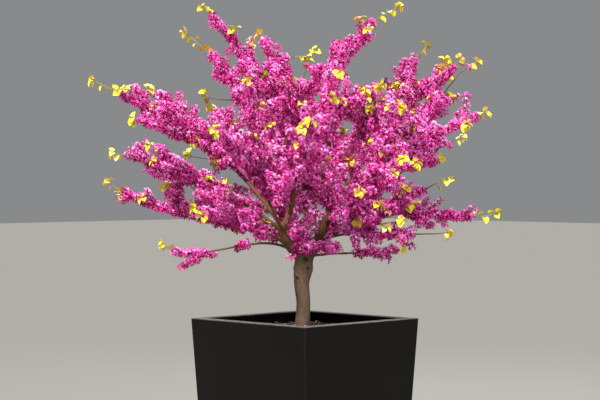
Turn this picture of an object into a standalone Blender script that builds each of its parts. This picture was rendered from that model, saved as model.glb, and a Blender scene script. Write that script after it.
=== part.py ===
"""A redbud tree in blossom, standing in a tapered square planter.

Run it with: blender --background --python part.py
Metres, +Z up. The origin is the middle of the planter's flat underside, and the planter's sides
run along X and Y. The tree is described as it is seen over the planter's corner: bearing 0 points
to the viewer's right and bearing 90 points away from the viewer. Heights on the tree count from
the soil.
"""

import math
import random

import bmesh
import bpy
import numpy as np
from mathutils import Matrix, Quaternion, Vector

CLEAR = 0.0003  # gap between two pieces that meet

# Planter: outer sides, wall, floor and the flat lip that turns inwards round the rim
PLANTER_TOP = 0.600
PLANTER_FOOT = 0.534
PLANTER_HEIGHT = 0.600
WALL = 0.008
FLOOR = 0.012
LIP_WIDTH = 0.040
LIP_THICKNESS = 0.008
EDGE_ROUND = 0.003

# Soil: its height at the trunk, and how far it falls towards the wall
SOIL_TOP = 0.572
SOIL_FALL = 0.010
SOIL_FLAT = 0.140

# The viewer looks over a corner, so the tree's bearings are turned by half a right angle
VIEW_TURN = 45.0

# Trunk: height, lean towards bearing 0, and radius, from the flat cut at the soil to the fork
TRUNK = (
    (0.000, -0.0090, 0.0300),
    (0.012, -0.0090, 0.0282),
    (0.045, -0.0065, 0.0268),
    (0.090, -0.0056, 0.0258),
    (0.119, -0.0082, 0.0270),
    (0.155, -0.0120, 0.0284),
    (0.180, -0.0105, 0.0318),
    (0.205, -0.0065, 0.0352),
    (0.240, -0.0030, 0.0350),
    (0.262, 0.0010, 0.0325),
    (0.276, 0.0020, 0.0240),
)
TRUNK_SIDES = 10
LEADER_SIDES = 8
BOUGH_SIDES = 5
TWIG_SIDES = {"main": 5, "side": 4}
FORK_HEIGHT = 0.236

# Leaders: what each grows from and how far along it, the bearing, reach and height of its end,
# the slopes at its two ends, and its two radii
LEADERS = {
    "left_leader": ("trunk", 1.0, (192, 0.091, 0.375), (42, 84), (0.0200, 0.0150)),
    "right_leader": ("trunk", 1.0, (352, 0.090, 0.427), (48, 72), (0.0178, 0.0115)),
    "rear_leader": ("trunk", 1.0, (148, 0.100, 0.395), (48, 78), (0.0160, 0.0110)),
    "centre_leader": ("left_leader", 0.90, (196, 0.036, 0.560), (55, 82), (0.0125, 0.0075)),
}

# Boughs: the leader and how far along it, the slopes at the two ends, the share of the way that
# is bare, and the tips. A tip is its bearing, reach, height and bare leafy end. The first one ends
# the bough's own line. The others end branches that leave it, at a last share of its way
BOUGHS = {
    "low_left": ("left_leader", 0.20, (45, 42), 0.34, [(192, 0.536, 0.308, 0.05)]),
    "left_low": (
        "left_leader",
        0.62,
        (18, 36),
        0.22,
        [(176, 0.738, 0.535, 0.07), (186, 0.560, 0.450, 0.00, 0.40)],
    ),
    "left_mid": (
        "left_leader",
        0.86,
        (40, 16),
        0.22,
        [(192, 0.712, 0.640, 0.04), (206, 0.620, 0.668, 0.03, 0.42)],
    ),
    "left_high": (
        "left_leader",
        0.99,
        (58, 24),
        0.22,
        [
            (180, 0.792, 0.914, 0.12),
            (172, 0.590, 0.885, 0.04, 0.46),
            (191, 0.640, 0.765, 0.02, 0.40),
        ],
    ),
    "top_left": (
        "centre_leader",
        0.62,
        (72, 36),
        0.24,
        [(163, 0.474, 1.100, 0.14), (152, 0.430, 0.870, 0.03, 0.44)],
    ),
    "top_inner": ("centre_leader", 0.88, (80, 40), 0.22, [(198, 0.398, 1.174, 0.05)]),
    "top": (
        "centre_leader",
        0.99,
        (88, 54),
        0.18,
        [
            (150, 0.200, 1.093, 0.03),
            (66, 0.100, 1.026, 0.09, 0.74),
            (285, 0.240, 0.960, 0.00, 0.34),
        ],
    ),
    "top_right": (
        "right_leader",
        0.99,
        (104, 20),
        0.22,
        [
            (348, 0.351, 1.178, 0.11),
            (30, 0.140, 1.060, 0.03, 0.50),
            (4, 0.290, 0.900, 0.03, 0.30),
        ],
    ),
    "right_high": (
        "right_leader",
        0.90,
        (56, 58),
        0.22,
        [(14, 0.472, 1.048, 0.04), (352, 0.575, 0.985, 0.04, 0.46)],
    ),
    "right_upper": (
        "right_leader",
        0.80,
        (58, 22),
        0.22,
        [(340, 0.694, 0.784, 0.04), (3, 0.645, 0.985, 0.05, 0.48)],
    ),
    "right_mid": (
        "right_leader",
        0.68,
        (44, 22),
        0.22,
        [(22, 0.655, 0.706, 0.04), (10, 0.520, 0.628, 0.03, 0.44)],
    ),
    "right_low": (
        "right_leader",
        0.56,
        (42, 12),
        0.22,
        [(357, 0.709, 0.416, 0.09), (346, 0.550, 0.545, 0.07, 0.26)],
    ),
    "low_right": ("right_leader", 0.42, (22, 8), 0.26, [(334, 0.567, 0.354, 0.02)]),
    "low_twig_right": ("right_leader", 0.14, (6, 10), 0.40, [(8, 0.368, 0.285, 0.02)]),
    "fork_spray": (
        "right_leader",
        0.10,
        (34, 4),
        0.20,
        [(256, 0.210, 0.305, 0.00), (306, 0.185, 0.305, 0.00, 0.30)],
    ),
    "front_low_left": ("left_leader", 0.46, (26, 10), 0.24, [(222, 0.520, 0.440, 0.02)]),
    "front_left": (
        "left_leader",
        0.74,
        (52, 24),
        0.22,
        [(236, 0.560, 0.720, 0.03), (242, 0.430, 0.890, 0.02, 0.40)],
    ),
    "front_middle": (
        "centre_leader",
        0.30,
        (40, 30),
        0.18,
        [
            (272, 0.610, 0.740, 0.02),
            (286, 0.430, 0.920, 0.03, 0.40),
            (262, 0.440, 0.560, 0.00, 0.24),
        ],
    ),
    "front_right": (
        "right_leader",
        0.74,
        (46, 26),
        0.20,
        [
            (308, 0.620, 0.600, 0.03),
            (316, 0.470, 0.800, 0.02, 0.40),
            (290, 0.400, 0.430, 0.00, 0.26),
        ],
    ),
    "front_low_right": ("right_leader", 0.34, (30, 10), 0.24, [(312, 0.500, 0.400, 0.02)]),
    "rear_low_left": ("rear_leader", 0.42, (30, 12), 0.22, [(138, 0.590, 0.450, 0.02)]),
    "rear_high_left": (
        "rear_leader",
        0.80,
        (58, 30),
        0.22,
        [(130, 0.570, 0.830, 0.04), (150, 0.520, 0.640, 0.02, 0.42)],
    ),
    "rear_middle": (
        "rear_leader",
        0.60,
        (36, 16),
        0.20,
        [(92, 0.640, 0.560, 0.03), (106, 0.480, 0.430, 0.02, 0.36)],
    ),
    "rear_top": (
        "rear_leader",
        0.99,
        (76, 52),
        0.18,
        [(88, 0.370, 1.010, 0.03), (120, 0.330, 0.930, 0.03, 0.44)],
    ),
    "rear_high_right": (
        "rear_leader",
        0.90,
        (58, 30),
        0.20,
        [(50, 0.580, 0.830, 0.04), (72, 0.520, 0.720, 0.02, 0.40)],
    ),
    "rear_low_right": ("rear_leader", 0.30, (30, 12), 0.22, [(42, 0.600, 0.440, 0.03)]),
}
LINE_STEPS = 14
BRANCH_STEPS = 8
LEADER_STEPS = 7
FIRST_PULL = 0.36  # how far a branch keeps the slope it leaves with, and the one it arrives with
LAST_PULL = 0.32

# A bough's radius: at the foot of a line of no length, what a metre adds, and the loss to the tip
BOUGH_THIN = 0.0034
BOUGH_GROWS = 0.0052
BOUGH_TAPER = 0.72

# Blossom round a branch: its thickness on a bough's lines, on side twigs and on a bough that is
# bare for long, how it swells and narrows along the line, and the bare twig before it
MAIN_RADIUS = 0.036
SIDE_RADIUS = 0.030
SPARSE_RADIUS = 0.023
SPARSE_FROM = 0.30
LUMP_STEP = 0.074
LUMP_NARROW = 0.74
INNER_SHARE = 0.72
BARE_START = 0.018
TIP_RADIUS = 0.019
SHOULDER = 0.008
STEM_LEAST = 0.0035
AIR = 0.0035  # least air between two masses

# Side twigs: the spacing along a line, the length there and its loss to the line's tip, the
# leaving angle, the rise, the turn from one to the next, and the thickness at root, bend and end
SIDE_SPACING = 0.104
SIDE_LENGTH = 0.200
SIDE_LOSS = 0.80
SIDE_SHORTEST = 0.070
SIDE_SHORTER = 0.78
SIDE_LENGTH_SPREAD = (0.80, 1.15)
SIDE_SPACING_SPREAD = (0.85, 1.15)
SIDE_ANGLE = 32.0
SIDE_ANGLE_SPREAD = 8.0
SIDE_RISE = 0.14
SIDE_PROFILE = (0.55, 1.0, 0.48)
SIDE_LEAST = 0.42
GOLDEN_TURN = 137.5

# Leaves: the radius of the bare shoot they stand on, length, width, thickness, spacing, how far
# each is sunk in the shoot, how far the end leaf and the others lean out, the rise, the spread of
# sizes, and the share of side twigs that end in a short leafy shoot
SHOOT_RADIUS = 0.0026
SHOOT_TAPER = 0.8
LEAF_LENGTH = 0.030
LEAF_WIDTH = 0.024
LEAF_THICKNESS = 0.0022
LEAF_SPACING = 0.050
LEAF_SUNK = 0.005
LEAF_LEAN_END = 0.35
LEAF_LEAN_SIDE = 1.1
LEAF_RISE = 0.25
LEAF_SIZES = (0.85, 1.10)
LEAFY_SHARE = 0.10
LEAFY_END = 0.022

SEED = 41
NEAR = 0.06  # limbs closer than this are cut clear of each other
TINY = 1e-12  # keeps a line of no length from dividing by nothing

# Finishes: red, green, blue, roughness
BARK = (0.150, 0.112, 0.078, 0.85)
BLOSSOM_LIGHT = (0.760, 0.150, 0.440, 0.70)
BLOSSOM_DEEP = (0.480, 0.045, 0.240, 0.75)
PLANTER_FINISH = (0.010, 0.010, 0.008, 0.38)
SOIL_FINISH = (0.028, 0.018, 0.012, 0.95)


def place(bearing, reach, height):
    """The point at a bearing and a reach from the planter's middle, at a height above the soil."""
    turned = math.radians(bearing + VIEW_TURN)
    return Vector((reach * math.cos(turned), reach * math.sin(turned), SOIL_TOP + height))


def curve_between(start, end, slopes, steps):
    """Points of a branch from start to end that leaves and arrives at the given slopes."""
    across = Vector((end.x - start.x, end.y - start.y, 0)).normalized()
    span = (end - start).length
    leaves, arrives = (
        across * math.cos(math.radians(slope)) + Vector((0, 0, math.sin(math.radians(slope))))
        for slope in slopes
    )
    first = start + leaves * span * FIRST_PULL
    second = end - arrives * span * LAST_PULL
    points = []
    for i in range(steps + 1):
        s = i / steps
        points.append(
            start * (1 - s) ** 3
            + first * 3 * s * (1 - s) ** 2
            + second * 3 * s**2 * (1 - s)
            + end * s**3
        )
    return points


def point_at(points, share):
    """The point and the direction at a share of the way along a line of points."""
    at = min(max(share, 0.0), 0.9999) * (len(points) - 1)
    i = int(at)
    step = points[i + 1] - points[i]
    return points[i] + step * (at - i), step.normalized()


def length_of(points):
    return sum((points[i + 1] - points[i]).length for i in range(len(points) - 1))


def point_after(points, distance):
    """The point and the direction at a distance along a line of points."""
    for i in range(len(points) - 1):
        step = points[i + 1] - points[i]
        if distance <= step.length or i == len(points) - 2:
            return points[i] + step.normalized() * distance, step.normalized()
        distance -= step.length
    return points[-1], step.normalized()


def skeleton():
    """The centre lines of the trunk, leaders and boughs, and of the branches of each bough."""
    lines = {"trunk": [place(0, lean, height) for height, lean, radius in TRUNK]}
    fork = place(0, 0, FORK_HEIGHT)
    for name, (parent, along, end, slopes, radii) in LEADERS.items():
        start = fork if parent == "trunk" else point_at(lines[parent], along)[0]
        lines[name] = curve_between(start, place(*end), slopes, LEADER_STEPS)
    branches = {}
    for name, (leader, along, slopes, bare, tips) in BOUGHS.items():
        start = point_at(lines[leader], along)[0]
        branches[name] = [curve_between(start, place(*tips[0][:3]), slopes, LINE_STEPS)]
        for bearing, reach, height, shoot, share in tips[1:]:
            fork_point, heading = point_at(branches[name][0], share)
            ends = (math.degrees(math.asin(heading.z)), slopes[1])
            end = place(bearing, reach, height)
            branches[name].append(curve_between(fork_point, end, ends, BRANCH_STEPS))
    return lines, branches


def bough_radius(name, branches, share):
    """The radius of a bough's line at a share of its way."""
    widest = BOUGH_THIN + BOUGH_GROWS * length_of(branches[name][0])
    return widest * (1 - BOUGH_TAPER * share)


def bare_bough(name, branches, share):
    """Points and radii of a bough's bare part: its line, cut off at a share of the way."""
    line = branches[name][0]
    at = share * (len(line) - 1)
    points = line[: int(at) + 1] + [point_at(line, share)[0]]
    shares = [i / (len(line) - 1) for i in range(len(points) - 1)] + [share]
    return points, [bough_radius(name, branches, each) for each in shares]


def mass_part(line, share):
    """The rest of the line, which starts clear of the bough's end."""
    at = share * (len(line) - 1)
    point, heading = point_at(line, share)
    return [point + heading * CLEAR] + line[int(at) + 1 :]


class Space:
    """What the limbs and masses take up, as rods of one radius, each with its owner."""

    def __init__(self):
        self.starts, self.ends, self.radii, self.owners = [], [], [], []

    def take(self, start, end, radius, owner):
        self.starts.append(start[:])
        self.ends.append(end[:])
        self.radii.append(radius)
        self.owners.append(owner)

    def free(self, owner):
        """Give up what an owner holds."""
        kept = [i for i, held in enumerate(self.owners) if held != owner]
        for name in ("starts", "ends", "radii", "owners"):
            values = getattr(self, name)
            setattr(self, name, [values[i] for i in kept])

    def room(self, start, end, owners):
        """How thick a rod from start to end can be before it meets one of another owner's."""
        other = np.array([held not in owners for held in self.owners])
        p, q = np.array(start[:]), np.array(end[:])
        starts, ends = np.array(self.starts)[other], np.array(self.ends)[other]
        d1, d2, between = q - p, ends - starts, p - starts
        a, e = d1 @ d1 + TINY, (d2 * d2).sum(1) + TINY
        b, c, f = d2 @ d1, between @ d1, (d2 * between).sum(1)
        s = np.clip((b * f - c * e) / (a * e - b * b + TINY), 0, 1)
        t = np.clip((b * s + f) / e, 0, 1)
        s = np.clip((b * t - c) / a, 0, 1)
        apart = np.linalg.norm(between + np.outer(s, d1) - d2 * t[:, None], axis=1)
        return float((apart - np.array(self.radii)[other]).min()) - AIR


def fitted(space, points, radii, owners):
    """The radii, brought down where another owner is near. The least room comes with them."""
    rooms = [space.room(points[i], points[i + 1], owners) for i in range(len(points) - 1)]
    limits = [rooms[0]] + [min(rooms[i], rooms[i + 1]) for i in range(len(rooms) - 1)] + [rooms[-1]]
    return [min(radius, limit) for radius, limit in zip(radii, limits)], min(rooms)


def blossomed_line(line, stem, shoot, widest):
    """Points and radii of a main line: bare stem, swelling and narrowing blossom, bare leafy end.

    A line without a stem starts inside the blossom of the one it leaves.
    """
    whole = length_of(line)
    blossom = whole - shoot
    stops, first = [(0.0, stem), (BARE_START, stem)], 2 * BARE_START
    if not stem:
        stops, first = [], 0.0
    count = max(2, round((blossom - first) / LUMP_STEP))
    for i in range(count):
        share = i / (count - 1)
        lump = 1.0 if i % 2 else LUMP_NARROW
        thick = widest * min(1.0, INNER_SHARE + share)
        radius = thick * lump * (1 - share**3) + TIP_RADIUS * share**3
        stops.append((first + (blossom - first) * share, radius))
    if shoot:
        stops.append((blossom + SHOULDER, SHOOT_RADIUS))
        stops.append((whole, SHOOT_RADIUS * SHOOT_TAPER))
    else:
        stops.append((whole + SHOULDER, TIP_RADIUS / 2))
    return [point_after(line, at)[0] for at, radius in stops], [radius for at, radius in stops]


def take_line(space, points, radii, owner):
    for i in range(len(points) - 1):
        space.take(points[i], points[i + 1], max(radii[i], radii[i + 1]), owner)


def take_limbs(lines, branches):
    """The space with the limbs in it, and a thin rod where each line of blossom will grow."""
    space = Space()
    for name, line in lines.items():
        widest = max(row[2] for row in TRUNK) if name == "trunk" else LEADERS[name][4][0]
        take_line(space, line, [widest] * len(line), name)
    for name, (leader, along, slopes, bare, tips) in BOUGHS.items():
        points, radii = bare_bough(name, branches, bare)
        take_line(space, points, radii, name)
        for line in [mass_part(branches[name][0], bare)] + branches[name][1:]:
            take_line(space, line, [STEM_LEAST + AIR] * len(line), name + "_blossom")
    return space


def side_twig(space, root, heading, turn, share, widest, owner, chance):
    """One side twig that has room, as its points, its radii and its leafy end, or None."""
    length = SIDE_LENGTH * (1 - SIDE_LOSS * share) * chance.uniform(*SIDE_LENGTH_SPREAD)
    leave = math.radians(SIDE_ANGLE + chance.uniform(-SIDE_ANGLE_SPREAD, SIDE_ANGLE_SPREAD))
    outward = heading.orthogonal().normalized()
    outward.rotate(Quaternion(heading, math.radians(turn)))
    way = heading * math.cos(leave) + outward * math.sin(leave)
    shoot = LEAFY_END if chance.random() < LEAFY_SHARE else 0.0
    while length > SIDE_SHORTEST:
        bend = root + way * length / 2
        end = root + way * length + Vector((0, 0, length * SIDE_RISE))
        tip_way = (end - bend).normalized()
        points = [root, bend, end - tip_way * shoot]
        radii, least = fitted(space, points, [widest * k for k in SIDE_PROFILE], (owner,))
        if least > widest * SIDE_LEAST:
            if shoot:
                points += [points[-1] + tip_way * SHOULDER, end]
                radii += [SHOOT_RADIUS, SHOOT_RADIUS * SHOOT_TAPER]
            return points, radii, shoot
        length *= SIDE_SHORTER
    return None


def shoot_leaves(space, points, shoot, turn, owner, chance):
    """The leaves that have room on a leafy shoot: each one's middle, lie, facing and size."""
    end, heading = points[-1], (points[-1] - points[-2]).normalized()
    count = 1 + round(shoot / LEAF_SPACING)
    leaves = []
    for k in range(count):
        root = end - heading * (SHOOT_RADIUS + k * shoot / count)
        outward = heading.orthogonal().normalized()
        outward.rotate(Quaternion(heading, math.radians(turn + GOLDEN_TURN * k)))
        spread = LEAF_LEAN_SIDE if k else LEAF_LEAN_END
        lie = (heading + outward * spread + Vector((0, 0, LEAF_RISE))).normalized()
        size = chance.uniform(*LEAF_SIZES)
        far = root + lie * LEAF_LENGTH * size
        facing = chance.uniform(0, math.tau)
        if space.room(root, far, (owner,)) > LEAF_WIDTH / 2:
            middle = root + lie * (LEAF_LENGTH * size / 2 - LEAF_SUNK)
            leaves.append((middle, lie, facing, size))
            space.take(root, far, LEAF_WIDTH / 2, owner)
    return leaves


def grow_mass(space, name, branches, chance):
    """One mass: its twigs as kind, points, radii and leafy end, and its leaves."""
    leader, along, slopes, bare, tips = BOUGHS[name]
    owner = name + "_blossom"
    space.free(owner)
    main_radius, side_radius = MAIN_RADIUS, SIDE_RADIUS
    if bare > SPARSE_FROM:
        main_radius = side_radius = SPARSE_RADIUS
    mains = [mass_part(branches[name][0], bare)] + branches[name][1:]
    twigs = []
    for line, tip in zip(mains, tips):
        stem = None if twigs else bough_radius(name, branches, bare)
        points, radii = blossomed_line(line, stem, tip[3], main_radius)
        radii, least = fitted(space, points, radii, (owner, name))
        radii = [max(radius, SHOOT_RADIUS * SHOOT_TAPER) for radius in radii]
        twigs.append(("main", points, radii, tip[3]))
    for kind, points, radii, shoot in twigs:
        take_line(space, points, radii, owner)
    turn = chance.uniform(0, 360)
    for line, tip in zip(mains, tips):
        blossom = length_of(line) - tip[3]
        at = 2 * BARE_START + SIDE_SPACING / 2
        while at < blossom - SIDE_SPACING / 2:
            turn += GOLDEN_TURN
            root, heading = point_after(line, at)
            share = at / blossom
            side = side_twig(space, root, heading, turn, share, side_radius, owner, chance)
            if side:
                twigs.append(("side", *side))
                take_line(space, side[0], side[1], owner)
            at += SIDE_SPACING * chance.uniform(*SIDE_SPACING_SPREAD)
    leaves = []
    for kind, points, radii, shoot in twigs:
        if shoot:
            turn += GOLDEN_TURN
            leaves += shoot_leaves(space, points, shoot, turn, owner, chance)
    return twigs, leaves


def grow_masses(lines, branches):
    """The twigs and leaves of each mass, kept apart from the limbs and from one another."""
    space = take_limbs(lines, branches)
    masses = {}
    for number, name in enumerate(BOUGHS):
        masses[name] = grow_mass(space, name, branches, random.Random(SEED + number))
    return masses


def new_object(name, mesh, collection):
    thing = bpy.data.objects.new(name, mesh)
    collection.objects.link(thing)
    return thing


def profile(sides, collection):
    """A closed outline of the given number of sides and unit radius for tubes to follow."""
    curve = bpy.data.curves.new(f"outline_{sides}", "CURVE")
    spline = curve.splines.new("POLY")
    spline.points.add(sides - 1)
    spline.use_cyclic_u = True
    for i, point in enumerate(spline.points):
        angle = math.tau * i / sides
        point.co = (math.cos(angle), math.sin(angle), 0, 1)
    outline = bpy.data.objects.new(curve.name, curve)
    outline.hide_render = True
    collection.objects.link(outline)
    return outline


def tube(name, points, radii, outline, collection):
    """A closed tube along a line of points, as a mesh."""
    curve = bpy.data.curves.new(name, "CURVE")
    curve.dimensions = "3D"
    curve.bevel_mode = "OBJECT"
    curve.bevel_object = outline
    curve.use_fill_caps = True
    spline = curve.splines.new("POLY")
    spline.points.add(len(points) - 1)
    for point, place_at, radius in zip(spline.points, points, radii):
        point.co = (*place_at, 1)
        point.radius = radius
    drawn = bpy.data.objects.new(name, curve)
    collection.objects.link(drawn)
    bpy.context.view_layer.update()
    shaped = drawn.evaluated_get(bpy.context.evaluated_depsgraph_get())
    mesh = bpy.data.meshes.new_from_object(shaped)
    bpy.data.objects.remove(drawn)
    bpy.data.curves.remove(curve)
    bm = bmesh.new()
    bm.from_mesh(mesh)
    bmesh.ops.remove_doubles(bm, verts=bm.verts[:], dist=0.00001)
    bmesh.ops.triangulate(bm, faces=bm.faces[:])
    bmesh.ops.recalc_face_normals(bm, faces=bm.faces[:])
    bm.to_mesh(mesh)
    bm.free()
    mesh.name = name
    return new_object(name, mesh, collection)


def apply_boolean(thing, operation, solver, collection):
    """Join or cut an object with everything in a collection, and keep the result as its mesh."""
    modifier = thing.modifiers.new("Boolean", "BOOLEAN")
    modifier.operation = operation
    modifier.operand_type = "COLLECTION"
    modifier.collection = collection
    modifier.solver = solver
    shaped = thing.evaluated_get(bpy.context.evaluated_depsgraph_get())
    mesh = bpy.data.meshes.new_from_object(shaped)
    thing.modifiers.clear()
    thing.data = mesh


def empty_out(collection):
    for thing in list(collection.objects):
        bpy.data.objects.remove(thing)


def islands(bm):
    """The separate bodies of a mesh, each as its faces."""
    left, found = set(bm.faces), []
    while left:
        body, front = [], [left.pop()]
        while front:
            face = front.pop()
            body.append(face)
            for edge in face.edges:
                for near in edge.link_faces:
                    if near in left:
                        left.remove(near)
                        front.append(near)
        found.append(body)
    return found


def volume_of(faces):
    total = 0.0
    for face in faces:
        corners = [vert.co for vert in face.verts]
        for i in range(1, len(corners) - 1):
            total += corners[0].dot(corners[i].cross(corners[i + 1])) / 6
    return total


def keep_largest(thing):
    """Keep an object's largest body, without the hollows and scraps that joining leaves."""
    bm = bmesh.new()
    bm.from_mesh(thing.data)
    bmesh.ops.triangulate(bm, faces=bm.faces[:])
    bodies = sorted(islands(bm), key=volume_of)
    for body in bodies[:-1]:
        bmesh.ops.delete(bm, geom=body, context="FACES")
    bmesh.ops.recalc_face_normals(bm, faces=bm.faces[:])
    bm.to_mesh(thing.data)
    bm.free()


def finish(thing, name, colour):
    """Give an object its name and its own finish."""
    thing.name = thing.data.name = name
    material = bpy.data.materials.new(name + "_finish")
    material.use_nodes = True
    shader = material.node_tree.nodes["Principled BSDF"]
    shader.inputs["Base Color"].default_value = (*colour[:3], 1)
    shader.inputs["Roughness"].default_value = colour[3]
    shader.inputs["Metallic"].default_value = 0.0
    thing.data.materials.clear()
    thing.data.materials.append(material)


def square_block(name, foot_side, top_side, bottom, top, collection):
    """A tapered block with level ends and its sides along X and Y."""
    bm = bmesh.new()
    bmesh.ops.create_cone(
        bm,
        cap_ends=True,
        segments=4,
        radius1=foot_side / math.sqrt(2),
        radius2=top_side / math.sqrt(2),
        depth=top - bottom,
    )
    bmesh.ops.rotate(bm, verts=bm.verts[:], matrix=Matrix.Rotation(math.radians(45), 3, "Z"))
    bmesh.ops.translate(bm, verts=bm.verts[:], vec=(0, 0, (top + bottom) / 2))
    mesh = bpy.data.meshes.new(name)
    bm.to_mesh(mesh)
    bm.free()
    return new_object(name, mesh, collection)


def planter_side(height):
    """The planter's outer side at a height."""
    return PLANTER_FOOT + (PLANTER_TOP - PLANTER_FOOT) * height / PLANTER_HEIGHT


def build_planter(parts, cutters):
    """The planter: a thin tapered wall and floor, with a flat lip turned inwards round the rim."""
    under_lip = PLANTER_HEIGHT - LIP_THICKNESS
    planter = square_block("planter", PLANTER_FOOT, PLANTER_TOP, 0, PLANTER_HEIGHT, parts)
    rounding = planter.modifiers.new("Rounding", "BEVEL")
    rounding.width = EDGE_ROUND
    rounding.segments = 2
    shaped = planter.evaluated_get(bpy.context.evaluated_depsgraph_get())
    mesh = bpy.data.meshes.new_from_object(shaped)
    planter.modifiers.clear()
    planter.data = mesh
    hollow = (planter_side(FLOOR) - 2 * WALL, planter_side(under_lip) - 2 * WALL)
    square_block("inside", *hollow, FLOOR, under_lip, cutters)
    mouth = PLANTER_TOP - 2 * LIP_WIDTH
    square_block("mouth", mouth, mouth, SOIL_TOP, PLANTER_HEIGHT + LIP_WIDTH, cutters)
    apply_boolean(planter, "DIFFERENCE", "EXACT", cutters)
    empty_out(cutters)
    keep_largest(planter)
    finish(planter, "planter", PLANTER_FINISH)


def build_soil(parts):
    """The soil: it fills the planter, level round the trunk and lower along the wall."""
    low = SOIL_TOP - SOIL_FALL
    sides = [planter_side(height) - 2 * (WALL + CLEAR) for height in (FLOOR + CLEAR, low)]
    soil = square_block("soil", *sides, FLOOR + CLEAR, low, parts)
    bm = bmesh.new()
    bm.from_mesh(soil.data)
    top = max(bm.faces, key=lambda face: face.calc_center_median().z)
    bmesh.ops.inset_region(bm, faces=[top], thickness=sides[1] / 2 - SOIL_FLAT)
    bmesh.ops.translate(bm, verts=top.verts[:], vec=(0, 0, SOIL_FALL))
    bmesh.ops.triangulate(bm, faces=bm.faces[:])
    bm.to_mesh(soil.data)
    bm.free()
    finish(soil, "soil", SOIL_FINISH)


def grown(points, by):
    """A line of points made longer at both ends."""
    first, last = (points[0] - points[1]).normalized(), (points[-1] - points[-2]).normalized()
    return [points[0] + first * by] + points[1:-1] + [points[-1] + last * by]


def limb_shapes(lines, branches):
    """Name, points, radii and number of sides of the trunk, the leaders and the bare boughs."""
    trunk = list(lines["trunk"])
    trunk[0] = trunk[0] + Vector((0, 0, CLEAR))
    yield "trunk", trunk, [row[2] for row in TRUNK], TRUNK_SIDES
    for name, (parent, along, end, slopes, (wide, narrow)) in LEADERS.items():
        shares = [i / LEADER_STEPS for i in range(LEADER_STEPS + 1)]
        yield name, lines[name], [wide + (narrow - wide) * each for each in shares], LEADER_SIDES
    for name, (leader, along, slopes, bare, tips) in BOUGHS.items():
        points, radii = bare_bough(name, branches, bare)
        yield name, points, radii, BOUGH_SIDES


def build_limbs(lines, branches, parts, cutters, outlines):
    """The trunk, leaders and boughs. Each is cut clear of the ones it grows from or crosses."""
    made = []
    for name, points, radii, sides in limb_shapes(lines, branches):
        limb = tube(name, points, radii, outlines[sides], parts)
        for other_points, other_radii, other_sides in made:
            near = any(
                (a - b).length < radii[0] + max(other_radii) + NEAR
                for a in points
                for b in other_points
            )
            if near:
                wider = [radius + CLEAR / math.cos(math.pi / other_sides) for radius in other_radii]
                tube("cutter", grown(other_points, CLEAR), wider, outlines[other_sides], cutters)
        if cutters.objects:
            apply_boolean(limb, "DIFFERENCE", "EXACT", cutters)
            empty_out(cutters)
        keep_largest(limb)
        finish(limb, name, BARK)
        made.append((points, radii, sides))


def leaf_shape(middle, lie, facing, size, collection):
    """One leaf: a flat body of eight faces, pointed at both ends."""
    bm = bmesh.new()
    bmesh.ops.create_uvsphere(bm, u_segments=4, v_segments=2, radius=0.5)
    scale = (LEAF_THICKNESS, LEAF_WIDTH * size, LEAF_LENGTH * size)
    bmesh.ops.scale(bm, verts=bm.verts[:], vec=scale)
    turn = Vector((0, 0, 1)).rotation_difference(lie).to_matrix().to_4x4()
    spin = Matrix.Rotation(facing, 4, "Z")
    bm.transform(Matrix.Translation(middle) @ turn @ spin)
    mesh = bpy.data.meshes.new("leaf")
    bm.to_mesh(mesh)
    bm.free()
    return new_object("leaf", mesh, collection)


def build_masses(masses, parts, pieces, outlines):
    """The masses: the blossomed twigs and the leaves of each bough joined into one body.

    A mass is the lighter in colour the higher its tip is.
    """
    heights = [twigs[0][1][-1].z for twigs, leaves in masses.values()]
    low, high = min(heights), max(heights)
    for name, (twigs, leaves) in masses.items():
        kind, points, radii, shoot = twigs[0]
        mass = tube(name, points, radii, outlines[TWIG_SIDES[kind]], parts)
        for kind, points, radii, shoot in twigs[1:]:
            tube("twig", points, radii, outlines[TWIG_SIDES[kind]], pieces)
        for middle, lie, facing, size in leaves:
            leaf_shape(middle, lie, facing, size, pieces)
        if pieces.objects:
            apply_boolean(mass, "UNION", "MANIFOLD", pieces)
            empty_out(pieces)
        keep_largest(mass)
        rise = (twigs[0][1][-1].z - low) / (high - low)
        colour = [a + (b - a) * rise for a, b in zip(BLOSSOM_DEEP, BLOSSOM_LIGHT)]
        finish(mass, name + "_blossom", colour)


def main():
    for thing in list(bpy.data.objects):
        bpy.data.objects.remove(thing)
    parts = bpy.data.collections.new("Redbud in a planter")
    cutters = bpy.data.collections.new("Cutters")
    outline_set = bpy.data.collections.new("Outlines")
    for collection in (parts, cutters, outline_set):
        bpy.context.scene.collection.children.link(collection)
    counts = {TRUNK_SIDES, LEADER_SIDES, BOUGH_SIDES, *TWIG_SIDES.values()}
    outlines = {sides: profile(sides, outline_set) for sides in sorted(counts)}

    lines, branches = skeleton()
    build_planter(parts, cutters)
    build_soil(parts)
    build_limbs(lines, branches, parts, cutters, outlines)
    build_masses(grow_masses(lines, branches), parts, cutters, outlines)
    empty_out(outline_set)
    bpy.data.collections.remove(outline_set)


if __name__ == "__main__":
    main()
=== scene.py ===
# %% [markdown]
# # A redbud tree in blossom
#
# The object is a small redbud that grows in a tapered square planter. Its flowers come before its
# leaves: they stand in sprays on the bare wood, so every branch is a thick pink plume, and the
# first yellow leaves show only at the ends of the shoots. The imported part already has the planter,
# the soil, the limbs and one closed body for the blossom of each bough. Here each of those bodies
# is taken apart into what it stands for: twigs, short spurs, sprays of flowers and young leaves.
#
# All lengths are metres. The frame is the part's own: the origin is the middle of the planter's
# underside, and the planter's sides run along X and Y. The tree is described as it is seen over
# the planter's corner: bearing 0 points to the viewer's right, and bearing 90 away from the viewer.

import math
import random

import bpy
import numpy as np
from mathutils import Matrix, Quaternion, Vector, kdtree, noise


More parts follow.
